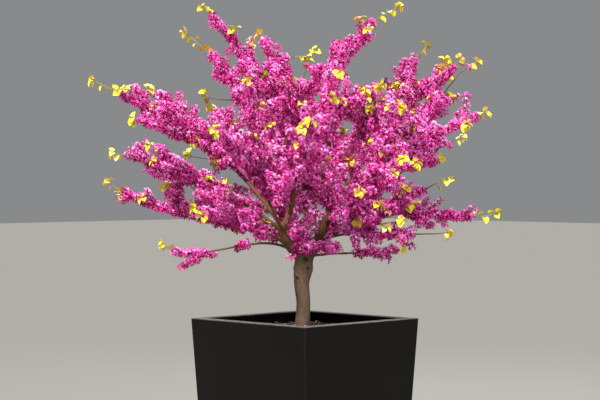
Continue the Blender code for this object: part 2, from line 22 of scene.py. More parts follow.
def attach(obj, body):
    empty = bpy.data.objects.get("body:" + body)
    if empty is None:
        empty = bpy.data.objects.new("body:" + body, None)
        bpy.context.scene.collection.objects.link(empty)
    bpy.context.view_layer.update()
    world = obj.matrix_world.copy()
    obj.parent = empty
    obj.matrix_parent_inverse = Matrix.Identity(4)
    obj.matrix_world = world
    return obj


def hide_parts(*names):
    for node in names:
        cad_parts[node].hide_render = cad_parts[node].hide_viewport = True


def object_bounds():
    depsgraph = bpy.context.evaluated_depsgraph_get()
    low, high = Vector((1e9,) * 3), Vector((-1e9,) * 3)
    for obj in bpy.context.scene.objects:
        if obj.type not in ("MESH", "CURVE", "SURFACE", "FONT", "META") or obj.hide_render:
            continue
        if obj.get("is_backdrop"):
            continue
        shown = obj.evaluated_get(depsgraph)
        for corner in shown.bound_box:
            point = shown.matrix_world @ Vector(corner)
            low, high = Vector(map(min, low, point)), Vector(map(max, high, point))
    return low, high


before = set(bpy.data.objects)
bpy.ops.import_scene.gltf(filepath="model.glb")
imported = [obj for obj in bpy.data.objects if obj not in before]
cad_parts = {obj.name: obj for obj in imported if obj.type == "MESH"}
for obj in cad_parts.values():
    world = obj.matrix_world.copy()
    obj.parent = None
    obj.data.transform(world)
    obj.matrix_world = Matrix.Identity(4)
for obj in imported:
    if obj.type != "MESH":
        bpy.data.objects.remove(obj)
cad_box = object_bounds()
print("box of the part:", [round(side, 3) for side in cad_box[1] - cad_box[0]])

# %% [markdown]
# ## Small helpers
#
# Blender's operators act on everything that is selected, and loading the part leaves its nodes
# selected. So each piece starts with an empty selection. A finished piece is named, rides on the
# part's one body and hides the part's nodes that it stands for. Many rules below work with a
# share of a way, which has to stay between 0 and 1.

# %% Selection and finishing
BODY = "root"
UP = Vector((0, 0, 1))


def select_only(*things):
    """Select these objects alone, and make the first one active."""
    bpy.ops.object.select_all(action="DESELECT")
    for thing in things:
        thing.select_set(True)
    bpy.context.view_layer.objects.active = things[0] if things else None


def finish_piece(thing, name, finishes, stands_for=()):
    """Name a piece, give it its finishes, and let it ride on the part."""
    thing.name = thing.data.name = name
    for finish in finishes:
        thing.data.materials.append(finish)
    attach(thing, BODY)
    if stands_for:
        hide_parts(*stands_for)
    thing.data.calc_loop_triangles()
    print(name, len(thing.data.loop_triangles), "triangles")


def held(share):
    """A share that is kept between 0 and 1."""
    return min(1.0, max(0.0, share))


# %% [markdown]
# ## Writing a finish as sums
#
# A finish is a net of nodes. Written out node by node it is hard to read, so a socket is wrapped in
# a small class on which plus, minus and times add the Math nodes. Every other node comes from one
# method, which takes the node's type, its settings and what goes into its sockets.

# %% The classes for finishes


class Value:
    """An output socket that can be used in sums."""

    def __init__(self, finish, socket):
        self.finish, self.socket = finish, socket

    def maths(self, operation, *terms, clamp=False):
        settings = {"operation": operation, "use_clamp": clamp}
        return self.finish.node("ShaderNodeMath", settings, dict(enumerate(terms)))

    def __add__(self, other):
        return self.maths("ADD", self, other)

    def __radd__(self, other):
        return self.maths("ADD", other, self)

    def __sub__(self, other):
        return self.maths("SUBTRACT", self, other)

    def __rsub__(self, other):
        return self.maths("SUBTRACT", other, self)

    def __mul__(self, other):
        return self.maths("MULTIPLY", self, other)

    def __rmul__(self, other):
        return self.maths("MULTIPLY", other, self)

    def __abs__(self):
        return self.maths("ABSOLUTE", self)

    def clamped(self):
        return self.maths("ADD", self, 0.0, clamp=True)

    def between(self, low, high):
        """0 below low, 1 above high, and smooth between them."""
        settings = {"interpolation_type": "SMOOTHSTEP"}
        inputs = {"Value": self, "From Min": low, "From Max": high}
        return self.finish.node("ShaderNodeMapRange", settings, inputs)


class Finish:
    """A material and its Principled shader."""

    def __init__(self, name, **constants):
        self.material = bpy.data.materials.new(name)
        self.material.use_nodes = True
        self.tree = self.material.node_tree
        self.shader = self.tree.nodes["Principled BSDF"]
        for socket, value in constants.items():
            self.shader.inputs[socket.replace("_", " ")].default_value = value

    def node(self, kind, settings=None, inputs=None, output=0):
        """A node with its settings and its sockets, and one of its outputs as a Value."""
        made = self.tree.nodes.new(kind)
        for setting, value in (settings or {}).items():
            setattr(made, setting, value)
        for socket, value in (inputs or {}).items():
            if isinstance(value, Value):
                self.tree.links.new(value.socket, made.inputs[socket])
            else:
                made.inputs[socket].default_value = value
        return Value(self, made.outputs[output])

    def place(self, scale=(1, 1, 1)):
        """Where a point is on the object, scaled."""
        point = self.node("ShaderNodeTexCoord", output="Object")
        return self.node("ShaderNodeMapping", inputs={"Vector": point, "Scale": scale})

    def split(self, point):
        """The three parts of a point."""
        node = self.node("ShaderNodeSeparateXYZ", inputs={0: point}).socket.node
        return [Value(self, node.outputs[axis]) for axis in "XYZ"]

    def noise(self, where, scale, detail=4.0, roughness=0.55):
        inputs = {"Vector": where, "Scale": scale, "Detail": detail, "Roughness": roughness}
        return self.node("ShaderNodeTexNoise", {"normalize": True}, inputs, "Fac")

    def mixed(self, share, first, second):
        """A colour between two, by a share from 0 to 1. A colour may be given by its code."""
        pair = [colour(each) if isinstance(each, str) else each for each in (first, second)]
        inputs = {0: share, 6: pair[0], 7: pair[1]}
        return self.node("ShaderNodeMix", {"data_type": "RGBA"}, inputs, 2)

    def feed(self, socket, value):
        self.tree.links.new(value.socket, self.shader.inputs[socket])

    def raised(self, height, distance):
        """Fine relief: a height from 0 to 1 over a distance in metres."""
        bump = self.node("ShaderNodeBump", inputs={"Height": height, "Distance": distance})
        self.feed("Normal", bump)


def colour(code):
    """A colour as shaders take it, from its six hexadecimal digits."""
    light = []
    for i in (0, 2, 4):
        shade = int(code[i : i + 2], 16) / 255
        light.append(shade / 12.92 if shade <= 0.04045 else ((shade + 0.055) / 1.055) ** 2.4)
    return (*light, 1.0)


def plain_finishes(tints, roughness, **constants):
    """One finish of a plain colour for each name and code."""
    constants.update(Roughness=roughness, Metallic=0.0)
    return [Finish(name, Base_Color=colour(code), **constants).material for name, code in tints.items()]


# %% [markdown]
# ## How the tree grows
#
# The tree grows by a rule. The trunk is a table of heights, leans and radii. Leaders and boughs are
# curves that leave their parent at one slope and reach their tip at another. Side twigs turn by the
# golden angle from one to the next, and each is kept only where it has room. This is the same rule
# as in the part, with the same seed, so the same twigs grow here as stand in its closed bodies.

# %% Sizes of the planter, the soil and the trunk
CLEAR = 0.0003  # gap between two pieces that meet

# Planter: outer sides, height, wall and floor
PLANTER_TOP = 0.600
PLANTER_FOOT = 0.534
PLANTER_HEIGHT = 0.600
WALL = 0.008
FLOOR = 0.012

# Soil: its height at the trunk, and how far it falls towards the wall
SOIL_TOP = 0.572
SOIL_FALL = 0.010
SOIL_FLAT = 0.140

# The viewer looks over a corner, so the tree's bearings are turned by half a right angle
VIEW_TURN = 45.0

# Trunk: height, lean towards bearing 0, and radius, from the flat cut at the soil to the fork
TRUNK = (
    (0.000, -0.0090, 0.0300),
    (0.012, -0.0090, 0.0282),
    (0.045, -0.0065, 0.0268),
    (0.090, -0.0056, 0.0258),
    (0.119, -0.0082, 0.0270),
    (0.155, -0.0120, 0.0284),
    (0.180, -0.0105, 0.0318),
    (0.205, -0.0065, 0.0352),
    (0.240, -0.0030, 0.0350),
    (0.262, 0.0010, 0.0325),
    (0.276, 0.0020, 0.0240),
)
FORK_HEIGHT = 0.236

# %% Leaders and boughs
# Leaders: what each grows from and how far along it, the bearing, reach and height of its end,
# the slopes at its two ends, and its two radii
LEADERS = {
    "left_leader": ("trunk", 1.0, (192, 0.091, 0.375), (42, 84), (0.0200, 0.0150)),
    "right_leader": ("trunk", 1.0, (352, 0.090, 0.427), (48, 72), (0.0178, 0.0115)),
    "rear_leader": ("trunk", 1.0, (148, 0.100, 0.395), (48, 78), (0.0160, 0.0110)),
    "centre_leader": ("left_leader", 0.90, (196, 0.036, 0.560), (55, 82), (0.0125, 0.0075)),
}

# Boughs: the leader and how far along it, the slopes at the two ends, the share of the way that
# is bare, and the tips. A tip is its bearing, reach, height and bare leafy end. The first one ends
# the bough's own line. The others end branches that leave it, at a last share of its way
BOUGHS = {
    "low_left": ("left_leader", 0.20, (45, 42), 0.34, [(192, 0.536, 0.308, 0.05)]),
    "left_low": ("left_leader", 0.62, (18, 36), 0.22,
                 [(176, 0.738, 0.535, 0.07), (186, 0.560, 0.450, 0.00, 0.40)]),
    "left_mid": ("left_leader", 0.86, (40, 16), 0.22,
                 [(192, 0.712, 0.640, 0.04), (206, 0.620, 0.668, 0.03, 0.42)]),
    "left_high": ("left_leader", 0.99, (58, 24), 0.22,
                  [(180, 0.792, 0.914, 0.12), (172, 0.590, 0.885, 0.04, 0.46),
                   (191, 0.640, 0.765, 0.02, 0.40)]),
    "top_left": ("centre_leader", 0.62, (72, 36), 0.24,
                 [(163, 0.474, 1.100, 0.14), (152, 0.430, 0.870, 0.03, 0.44)]),
    "top_inner": ("centre_leader", 0.88, (80, 40), 0.22, [(198, 0.398, 1.174, 0.05)]),
    "top": ("centre_leader", 0.99, (88, 54), 0.18,
            [(150, 0.200, 1.093, 0.03), (66, 0.100, 1.026, 0.09, 0.74),
             (285, 0.240, 0.960, 0.00, 0.34)]),
    "top_right": ("right_leader", 0.99, (104, 20), 0.22,
                  [(348, 0.351, 1.178, 0.11), (30, 0.140, 1.060, 0.03, 0.50),
                   (4, 0.290, 0.900, 0.03, 0.30)]),
    "right_high": ("right_leader", 0.90, (56, 58), 0.22,
                   [(14, 0.472, 1.048, 0.04), (352, 0.575, 0.985, 0.04, 0.46)]),
    "right_upper": ("right_leader", 0.80, (58, 22), 0.22,
                    [(340, 0.694, 0.784, 0.04), (3, 0.645, 0.985, 0.05, 0.48)]),
    "right_mid": ("right_leader", 0.68, (44, 22), 0.22,
                  [(22, 0.655, 0.706, 0.04), (10, 0.520, 0.628, 0.03, 0.44)]),
    "right_low": ("right_leader", 0.56, (42, 12), 0.22,
                  [(357, 0.709, 0.416, 0.09), (346, 0.550, 0.545, 0.07, 0.26)]),
    "low_right": ("right_leader", 0.42, (22, 8), 0.26, [(334, 0.567, 0.354, 0.02)]),
    "low_twig_right": ("right_leader", 0.14, (6, 10), 0.40, [(8, 0.368, 0.285, 0.02)]),
    "fork_spray": ("right_leader", 0.10, (34, 4), 0.20,
                   [(256, 0.210, 0.305, 0.00), (306, 0.185, 0.305, 0.00, 0.30)]),
    "front_low_left": ("left_leader", 0.46, (26, 10), 0.24, [(222, 0.520, 0.440, 0.02)]),
    "front_left": ("left_leader", 0.74, (52, 24), 0.22,
                   [(236, 0.560, 0.720, 0.03), (242, 0.430, 0.890, 0.02, 0.40)]),
    "front_middle": ("centre_leader", 0.30, (40, 30), 0.18,
                     [(272, 0.610, 0.740, 0.02), (286, 0.430, 0.920, 0.03, 0.40),
                      (262, 0.440, 0.560, 0.00, 0.24)]),
    "front_right": ("right_leader", 0.74, (46, 26), 0.20,
                    [(308, 0.620, 0.600, 0.03), (316, 0.470, 0.800, 0.02, 0.40),
                     (290, 0.400, 0.430, 0.00, 0.26)]),
    "front_low_right": ("right_leader", 0.34, (30, 10), 0.24, [(312, 0.500, 0.400, 0.02)]),
    "rear_low_left": ("rear_leader", 0.42, (30, 12), 0.22, [(138, 0.590, 0.450, 0.02)]),
    "rear_high_left": ("rear_leader", 0.80, (58, 30), 0.22,
                       [(130, 0.570, 0.830, 0.04), (150, 0.520, 0.640, 0.02, 0.42)]),
    "rear_middle": ("rear_leader", 0.60, (36, 16), 0.20,
                    [(92, 0.640, 0.560, 0.03), (106, 0.480, 0.430, 0.02, 0.36)]),
    "rear_top": ("rear_leader", 0.99, (76, 52), 0.18,
                 [(88, 0.370, 1.010, 0.03), (120, 0.330, 0.930, 0.03, 0.44)]),
    "rear_high_right": ("rear_leader", 0.90, (58, 30), 0.20,
                        [(50, 0.580, 0.830, 0.04), (72, 0.520, 0.720, 0.02, 0.40)]),
    "rear_low_right": ("rear_leader", 0.30, (30, 12), 0.22, [(42, 0.600, 0.440, 0.03)]),
}
LINE_STEPS = 14
BRANCH_STEPS = 8
LEADER_STEPS = 7
FIRST_PULL = 0.36  # how far a branch keeps the slope it leaves with, and the one it arrives with
LAST_PULL = 0.32

# %% Blossom, side twigs and leafy shoots of the part
# A bough's radius: at the foot of a line of no length, what a metre adds, and the loss to the tip
BOUGH_THIN = 0.0034
BOUGH_GROWS = 0.0052
BOUGH_TAPER = 0.72

# Blossom round a branch: its thickness on a bough's lines, on side twigs and on a bough that is
# bare for long, how it swells and narrows along the line, and the bare twig before it
MAIN_RADIUS = 0.036
SIDE_RADIUS = 0.030
SPARSE_RADIUS = 0.023
SPARSE_FROM = 0.30
LUMP_STEP = 0.074
LUMP_NARROW = 0.74
INNER_SHARE = 0.72
BARE_START = 0.018
TIP_RADIUS = 0.019
SHOULDER = 0.008
STEM_LEAST = 0.0035
AIR = 0.0035  # least air between two masses

# Side twigs: the spacing along a line, the length there and its loss to the line's tip, the
# leaving angle, the rise, the turn from one to the next, and the thickness at root, bend and end
SIDE_SPACING = 0.104
SIDE_LENGTH = 0.200
SIDE_LOSS = 0.80
SIDE_SHORTEST = 0.070
SIDE_SHORTER = 0.78
SIDE_LENGTH_SPREAD = (0.80, 1.15)
SIDE_SPACING_SPREAD = (0.85, 1.15)
SIDE_ANGLE = 32.0
SIDE_ANGLE_SPREAD = 8.0
SIDE_RISE = 0.14
SIDE_PROFILE = (0.55, 1.0, 0.48)
SIDE_LEAST = 0.42
GOLDEN_TURN = 137.5

# Leaves: the radius of the bare shoot they stand on, length, width, spacing, how far the end leaf
# and the others lean out, the rise, the spread of sizes, and the share of side twigs that end in a
# short leafy shoot
SHOOT_RADIUS = 0.0026
SHOOT_TAPER = 0.8
LEAF_LENGTH = 0.030
LEAF_WIDTH = 0.024
LEAF_SPACING = 0.050
LEAF_LEAN_END = 0.35
LEAF_LEAN_SIDE = 1.1
LEAF_RISE = 0.25
LEAF_SIZES = (0.85, 1.10)
LEAFY_SHARE = 0.10
LEAFY_END = 0.022

SEED = 41
TINY = 1e-12  # keeps a line of no length from dividing by nothing
ALMOST_ALL = 0.9999  # the most of a way, so that a last step is left to take the direction from


# %% Points and curves


def place(bearing, reach, height):
    """The point at a bearing and a reach from the planter's middle, at a height above the soil."""
    turned = math.radians(bearing + VIEW_TURN)
    return Vector((reach * math.cos(turned), reach * math.sin(turned), SOIL_TOP + height))


def towards(bearing):
    """The level way towards a bearing."""
    return place(bearing, 1, -SOIL_TOP)


def curve_between(start, end, slopes, steps):
    """Points of a branch from start to end that leaves and arrives at the given slopes."""
    across = Vector((end.x - start.x, end.y - start.y, 0)).normalized()
    span = (end - start).length
    leaves, arrives = (
        across * math.cos(math.radians(slope)) + UP * math.sin(math.radians(slope))
        for slope in slopes
    )
    first = start + leaves * span * FIRST_PULL
    second = end - arrives * span * LAST_PULL
    points = []
    for i in range(steps + 1):
        done = i / steps
        left = 1 - done
        near = start * left**3 + first * 3 * done * left**2
        points.append(near + second * 3 * done**2 * left + end * done**3)
    return points


def point_at(points, share):
    """The point and the direction at a share of the way along a line of points."""
    at = min(max(share, 0.0), ALMOST_ALL) * (len(points) - 1)
    i = int(at)
    step = points[i + 1] - points[i]
    return points[i] + step * (at - i), step.normalized()


def way_at(points, i):
    """The direction of a line at one of its points, from the one before to the one after."""
    return (points[min(i + 1, len(points) - 1)] - points[max(i - 1, 0)]).normalized()


def distances(points):
    """How far along its line each point is."""
    gone = [0.0]
    for before, point in zip(points, points[1:]):
        gone.append(gone[-1] + (point - before).length)
    return gone


def length_of(points):
    return distances(points)[-1]


def point_after(points, distance):
    """The point and the direction at a distance along a line of points."""
    for i in range(len(points) - 1):
        step = points[i + 1] - points[i]
        if distance <= step.length or i == len(points) - 2:
            return points[i] + step.normalized() * distance, step.normalized()
        distance -= step.length


def outwards(heading, turn):
    """The way straight out from a heading, turned round it by so many degrees."""
    outward = heading.orthogonal().normalized()
    outward.rotate(Quaternion(heading, math.radians(turn)))
    return outward


def leaning(heading, turn, lean):
    """The way that leans from a heading by an angle, turned round it by so many degrees."""
    return heading * math.cos(lean) + outwards(heading, turn) * math.sin(lean)


# %% The centre lines of all limbs


def skeleton():
    """The centre lines of the trunk, leaders and boughs, and of the branches of each bough."""
    lines = {"trunk": [place(0, lean, height) for height, lean, radius in TRUNK]}
    fork = place(0, 0, FORK_HEIGHT)
    for name, (parent, along, end, slopes, radii) in LEADERS.items():
        start = fork if parent == "trunk" else point_at(lines[parent], along)[0]
        lines[name] = curve_between(start, place(*end), slopes, LEADER_STEPS)
    branches = {}
    for name, (leader, along, slopes, bare, tips) in BOUGHS.items():
        start = point_at(lines[leader], along)[0]
        branches[name] = [curve_between(start, place(*tips[0][:3]), slopes, LINE_STEPS)]
        for bearing, reach, height, shoot, share in tips[1:]:
            fork_point, heading = point_at(branches[name][0], share)
            ends = (math.degrees(math.asin(heading.z)), slopes[1])
            end = place(bearing, reach, height)
            branches[name].append(curve_between(fork_point, end, ends, BRANCH_STEPS))
    return lines, branches


lines, branches = skeleton()


def bough_radius(name, share):
    """The radius of a bough's line at a share of its way."""
    widest = BOUGH_THIN + BOUGH_GROWS * length_of(branches[name][0])
    return widest * (1 - BOUGH_TAPER * share)


def bare_bough(name):
    """Points and radii of a bough's bare part: its line, cut off at a share of the way."""
    line, bare = branches[name][0], BOUGHS[name][3]
    at = bare * (len(line) - 1)
    points = line[: int(at) + 1] + [point_at(line, bare)[0]]
    shares = [i / (len(line) - 1) for i in range(len(points) - 1)] + [bare]
    return points, [bough_radius(name, each) for each in shares]


def main_lines(name):
    """The lines of a mass: the rest of its bough's line, clear of the bough's end, and branches."""
    line, bare = branches[name][0], BOUGHS[name][3]
    point, heading = point_at(line, bare)
    rest = [point + heading * CLEAR] + line[int(bare * (len(line) - 1)) + 1 :]
    return [rest] + branches[name][1:]


# %% What the limbs and the blossom take up


class Space:
    """What the limbs and masses take up, as rods of one radius, each with its owner."""

    def __init__(self):
        self.starts, self.ends, self.radii, self.owners = [], [], [], []

    def take(self, start, end, radius, owner):
        self.starts.append(start[:])
        self.ends.append(end[:])
        self.radii.append(radius)
        self.owners.append(owner)

    def take_line(self, points, radii, owner):
        for i in range(len(points) - 1):
            self.take(points[i], points[i + 1], max(radii[i], radii[i + 1]), owner)

    def free(self, owner):
        """Give up what an owner holds."""
        kept = [i for i, holder in enumerate(self.owners) if holder != owner]
        for name in ("starts", "ends", "radii", "owners"):
            values = getattr(self, name)
            setattr(self, name, [values[i] for i in kept])

    def room(self, start, end, owners):
        """How thick a rod from start to end can be before it meets one of another owner's.

        Where two lines are nearest is found by their shares of the way: first this rod's, then the
        other's for it, then this rod's again, each held to the line's ends.
        """
        other = np.array([holder not in owners for holder in self.owners])
        starts, ends = np.array(self.starts)[other], np.array(self.ends)[other]
        rod, rods = np.array(end[:]) - np.array(start[:]), ends - starts
        between = np.array(start[:]) - starts
        square, squares = rod @ rod + TINY, (rods * rods).sum(1) + TINY
        both, before, befores = rods @ rod, between @ rod, (rods * between).sum(1)
        share = (both * befores - before * squares) / (square * squares - both * both + TINY)
        shares = np.clip((both * np.clip(share, 0, 1) + befores) / squares, 0, 1)
        share = np.clip((both * shares - before) / square, 0, 1)
        apart = np.linalg.norm(between + np.outer(share, rod) - rods * shares[:, None], axis=1)
        return float((apart - np.array(self.radii)[other]).min()) - AIR

    def fitted(self, points, radii, owners):
        """The radii, brought down where another owner is near, and the least room."""
        rooms = [self.room(points[i], points[i + 1], owners) for i in range(len(points) - 1)]
        limits = [rooms[0], *map(min, rooms, rooms[1:]), rooms[-1]]
        return [min(radius, limit) for radius, limit in zip(radii, limits)], min(rooms)


def take_limbs():
    """The space with the limbs in it, and a thin rod where each line of blossom will grow."""
    space = Space()
    for name, line in lines.items():
        widest = max(row[2] for row in TRUNK) if name == "trunk" else LEADERS[name][4][0]
        space.take_line(line, [widest] * len(line), name)
    for name in BOUGHS:
        space.take_line(*bare_bough(name), name)
        for line in main_lines(name):
            space.take_line(line, [STEM_LEAST + AIR] * len(line), name + "_blossom")
    return space


# %% Twigs and leaves that have room


def blossomed_line(line, stem, shoot, widest):
    """Points and radii of a main line: bare stem, swelling and narrowing blossom, bare leafy end.

    A line without a stem starts inside the blossom of the one it leaves.
    """
    whole = length_of(line)
    blossom = whole - shoot
    stops, first = [(0.0, stem), (BARE_START, stem)], 2 * BARE_START
    if not stem:
        stops, first = [], 0.0
    count = max(2, round((blossom - first) / LUMP_STEP))
    for i in range(count):
        share = i / (count - 1)
        lump = 1.0 if i % 2 else LUMP_NARROW
        thick = widest * min(1.0, INNER_SHARE + share)
        radius = thick * lump * (1 - share**3) + TIP_RADIUS * share**3
        stops.append((first + (blossom - first) * share, radius))
    if shoot:
        stops.append((blossom + SHOULDER, SHOOT_RADIUS))
        stops.append((whole, SHOOT_RADIUS * SHOOT_TAPER))
    else:
        stops.append((whole + SHOULDER, TIP_RADIUS / 2))
    return [point_after(line, at)[0] for at, radius in stops], [radius for at, radius in stops]


def side_twig(space, root, heading, turn, share, widest, owner, chance):
    """One side twig that has room, as its points, its radii and its leafy end, or None."""
    length = SIDE_LENGTH * (1 - SIDE_LOSS * share) * chance.uniform(*SIDE_LENGTH_SPREAD)
    leave = math.radians(SIDE_ANGLE + chance.uniform(-SIDE_ANGLE_SPREAD, SIDE_ANGLE_SPREAD))
    way = leaning(heading, turn, leave)
    shoot = LEAFY_END if chance.random() < LEAFY_SHARE else 0.0
    while length > SIDE_SHORTEST:
        bend = root + way * length / 2
        end = root + way * length + UP * (length * SIDE_RISE)
        tip_way = (end - bend).normalized()
        points = [root, bend, end - tip_way * shoot]
        radii, least = space.fitted(points, [widest * k for k in SIDE_PROFILE], (owner,))
        if least > widest * SIDE_LEAST:
            if shoot:
                points += [points[-1] + tip_way * SHOULDER, end]
                radii += [SHOOT_RADIUS, SHOOT_RADIUS * SHOOT_TAPER]
            return points, radii, shoot
        length *= SIDE_SHORTER
    return None


def take_leaves(space, points, shoot, turn, owner, chance):
    """The part's leaves on a leafy shoot take up what room there is for them."""
    end, heading = points[-1], (points[-1] - points[-2]).normalized()
    count = 1 + round(shoot / LEAF_SPACING)
    for k in range(count):
        root = end - heading * (SHOOT_RADIUS + k * shoot / count)
        spread = LEAF_LEAN_SIDE if k else LEAF_LEAN_END
        outward = outwards(heading, turn + GOLDEN_TURN * k)
        lie = (heading + outward * spread + UP * LEAF_RISE).normalized()
        far = root + lie * LEAF_LENGTH * chance.uniform(*LEAF_SIZES)
        chance.uniform(0, math.tau)  # the part turns the leaf by this
        if space.room(root, far, (owner,)) > LEAF_WIDTH / 2:
            space.take(root, far, LEAF_WIDTH / 2, owner)


# %% The masses of the boughs, one after another


def grow_mass(space, name, chance):
    """The twigs of one mass as kind, points, radii and leafy end."""
    bare, tips = BOUGHS[name][3:]
    owner = name + "_blossom"
    space.free(owner)
    main_radius, side_radius = MAIN_RADIUS, SIDE_RADIUS
    if bare > SPARSE_FROM:
        main_radius = side_radius = SPARSE_RADIUS
    twigs = []
    for line, tip in zip(main_lines(name), tips):
        stem = None if twigs else bough_radius(name, bare)
        points, radii = blossomed_line(line, stem, tip[3], main_radius)
        radii = space.fitted(points, radii, (owner, name))[0]
        radii = [max(radius, SHOOT_RADIUS * SHOOT_TAPER) for radius in radii]
        twigs.append(("main", points, radii, tip[3]))
    for kind, points, radii, shoot in twigs:
        space.take_line(points, radii, owner)
    turn = chance.uniform(0, 360)
    for line, tip in zip(main_lines(name), tips):
        blossom = length_of(line) - tip[3]
        at = 2 * BARE_START + SIDE_SPACING / 2
        while at < blossom - SIDE_SPACING / 2:
            turn += GOLDEN_TURN
            root, heading = point_after(line, at)
            side = side_twig(space, root, heading, turn, at / blossom, side_radius, owner, chance)
            if side:
                twigs.append(("side", *side))
                space.take_line(side[0], side[1], owner)
            at += SIDE_SPACING * chance.uniform(*SIDE_SPACING_SPREAD)
    for kind, points, radii, shoot in twigs:
        if shoot:
            turn += GOLDEN_TURN
            take_leaves(space, points, shoot, turn, owner, chance)
    return twigs


space = take_limbs()
masses = {}
for number, name in enumerate(BOUGHS):
    masses[name] = grow_mass(space, name, random.Random(SEED + number))
print(len(masses), "masses with", sum(map(len, masses.values())), "twigs in the part's own rule")

# %% [markdown]
# ## The planter
#
# The planter is a thin folded box with a satin black coat. Its shape in the part is already right,
# so only its finish is made here. A coat like this isn't one flat black: it has a faint grain, soft
# clouds where rain has dried, a little dust low down, and it is rubbed lighter along its corners.
# Its rim is worn and also carries a painted highlight: a lighter, patchy band along the top, as if
# the lip caught the light. The corners are found from the place of a point: there the two distances
# from the middle are nearly the same.

# %% The planter's finish
WALL_SLOPE = (PLANTER_TOP - PLANTER_FOOT) / PLANTER_HEIGHT / 2
COAT_BLACK, COAT_CLOUDED = "060604", "0B0A07"
# The light grey is both the worn corners' colour and the painted highlight along the rim's top
COAT_DUST, COAT_WEAR_AND_HIGHLIGHT = "2A271F", "62625C"
CORNER_RUBBED = (0.0015, 0.010)
# Painted highlight: how far down from the rim's top the lighter band reaches
RIM_HIGHLIGHT_BAND = 0.0035
DUST_HEIGHT = 0.16
COAT_GRAIN = 0.00025
PATCHES, CLOUDS, GRAIN = 38.0, 5.5, 620.0  # noise, by how many waves a metre has


def planter_coat():
    finish = Finish("planter_coat", Metallic=0.0, Specular_IOR_Level=0.16)
    where = finish.place()
    x, y, z = finish.split(where)
    half = z * WALL_SLOPE + PLANTER_FOOT / 2
    from_corner = half * 2 - abs(x) - abs(y)
    rubbed = 1 - from_corner.between(*CORNER_RUBBED)
    # Painted highlight: the rim's top is painted light grey, patchy like wear; the corners get a trace of
    # real wear
    rim = z.between(PLANTER_HEIGHT - RIM_HIGHLIGHT_BAND, PLANTER_HEIGHT)
    patchy = finish.noise(where, PATCHES, 5.0).between(0.38, 0.66)
    wear_and_rim_highlight = (rubbed * patchy * 0.05 + rim * (patchy * 0.4 + 0.6)).clamped()
    clouds = finish.noise(finish.place(scale=(1, 1, 0.45)), CLOUDS, 6.0, 0.62).between(0.42, 0.72)
    dust = (1 - z.between(0.0, DUST_HEIGHT)) * clouds * 0.5
    black = finish.mixed(clouds * 0.55, COAT_BLACK, COAT_CLOUDED)
    dusty = finish.mixed(dust, black, COAT_DUST)
    finish.feed("Base Color", finish.mixed(wear_and_rim_highlight, dusty, COAT_WEAR_AND_HIGHLIGHT))
    finish.feed("Roughness", clouds * 0.13 + dust * 0.3 + 0.36)
    finish.raised(finish.noise(where, GRAIN, 2.0, 0.5), COAT_GRAIN)
    return finish.material


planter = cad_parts["planter"]
planter.data.materials.clear()
planter.data.materials.append(planter_coat())
print("planter finish:", len(planter.data.materials[0].node_tree.nodes), "nodes")

# %% [markdown]
# ## The soil
#
# The soil is dark, crumbly and a little higher at the trunk. A grid of small squares is raised and
# lowered by noise, then its rim is drawn down to the planter's floor and closed, so it is one solid
# body as in the part. Noise in two sizes gives clods and crumbs.

# %% Shape of the soil
SOIL_CELLS = 112
CLOD_SIZE = 0.034
CLOD_HEIGHT = 0.0060
CLOD_WAVES = (0.8, 2.1, 3)  # how fast finer waves fade, how much finer each is, and how many
CRUMB_SIZE = 0.009
CRUMB_HEIGHT = 0.0028
CRUMB_WAVES = (0.7, 2.0, 3)
MOUND_REACH = 0.085
MOUND_HEIGHT = 0.006


def inner_side(height):
    """The planter's inner side at a height."""
    outer = PLANTER_FOOT + (PLANTER_TOP - PLANTER_FOOT) * height / PLANTER_HEIGHT
    return outer - 2 * (WALL + CLEAR)


def soil_height(x, y):
    """The height of the soil at a place."""
    half = inner_side(SOIL_TOP) / 2
    fall = SOIL_FALL * held((max(abs(x), abs(y)) - SOIL_FLAT) / (half - SOIL_FLAT))
    mound = MOUND_HEIGHT * math.exp(-((math.hypot(x, y) / MOUND_REACH) ** 2))
    clods = noise.fractal(Vector((x, y, 0.3)) / CLOD_SIZE, *CLOD_WAVES)
    crumbs = noise.fractal(Vector((x, y, 0.7)) / CRUMB_SIZE, *CRUMB_WAVES)
    relief = CLOD_HEIGHT * clods + CRUMB_HEIGHT * crumbs
    return SOIL_TOP - fall + mound + relief - CLOD_HEIGHT


def make_soil():
    select_only()
    side = inner_side(SOIL_TOP - SOIL_FALL)
    bpy.ops.mesh.primitive_grid_add(
        x_subdivisions=SOIL_CELLS, y_subdivisions=SOIL_CELLS, size=side, location=(0, 0, SOIL_TOP)
    )
    soil = bpy.context.active_object
    soil.data.transform(soil.matrix_world)
    soil.matrix_world = Matrix.Identity(4)
    for corner in soil.data.vertices:
        corner.co.z = soil_height(corner.co.x, corner.co.y)
    bpy.ops.object.mode_set(mode="EDIT")
    bpy.ops.mesh.select_all(action="SELECT")
    bpy.ops.mesh.region_to_loop()
    bpy.ops.mesh.extrude_edges_move(TRANSFORM_OT_translate={"value": (0, 0, -SOIL_TOP / 2)})
    bpy.ops.object.mode_set(mode="OBJECT")
    floor = FLOOR + CLEAR
    narrow = inner_side(floor) / side
    for corner in soil.data.vertices:
        if corner.select:
            corner.co = (corner.co.x * narrow, corner.co.y * narrow, floor)
    bpy.ops.object.mode_set(mode="EDIT")
    bpy.ops.mesh.edge_face_add()
    bpy.ops.mesh.select_all(action="SELECT")
    bpy.ops.mesh.normals_make_consistent(inside=False)
    bpy.ops.object.mode_set(mode="OBJECT")
    bpy.ops.object.shade_smooth()
    return soil


# %% The soil's finish
SOIL_WET, SOIL_DARK, SOIL_DRY = "100B07", "20160F", "38291E"
CRUMB_RELIEF = 0.004
CRUMBS, CLODS = 190.0, 26.0  # noise, by how many waves a metre has


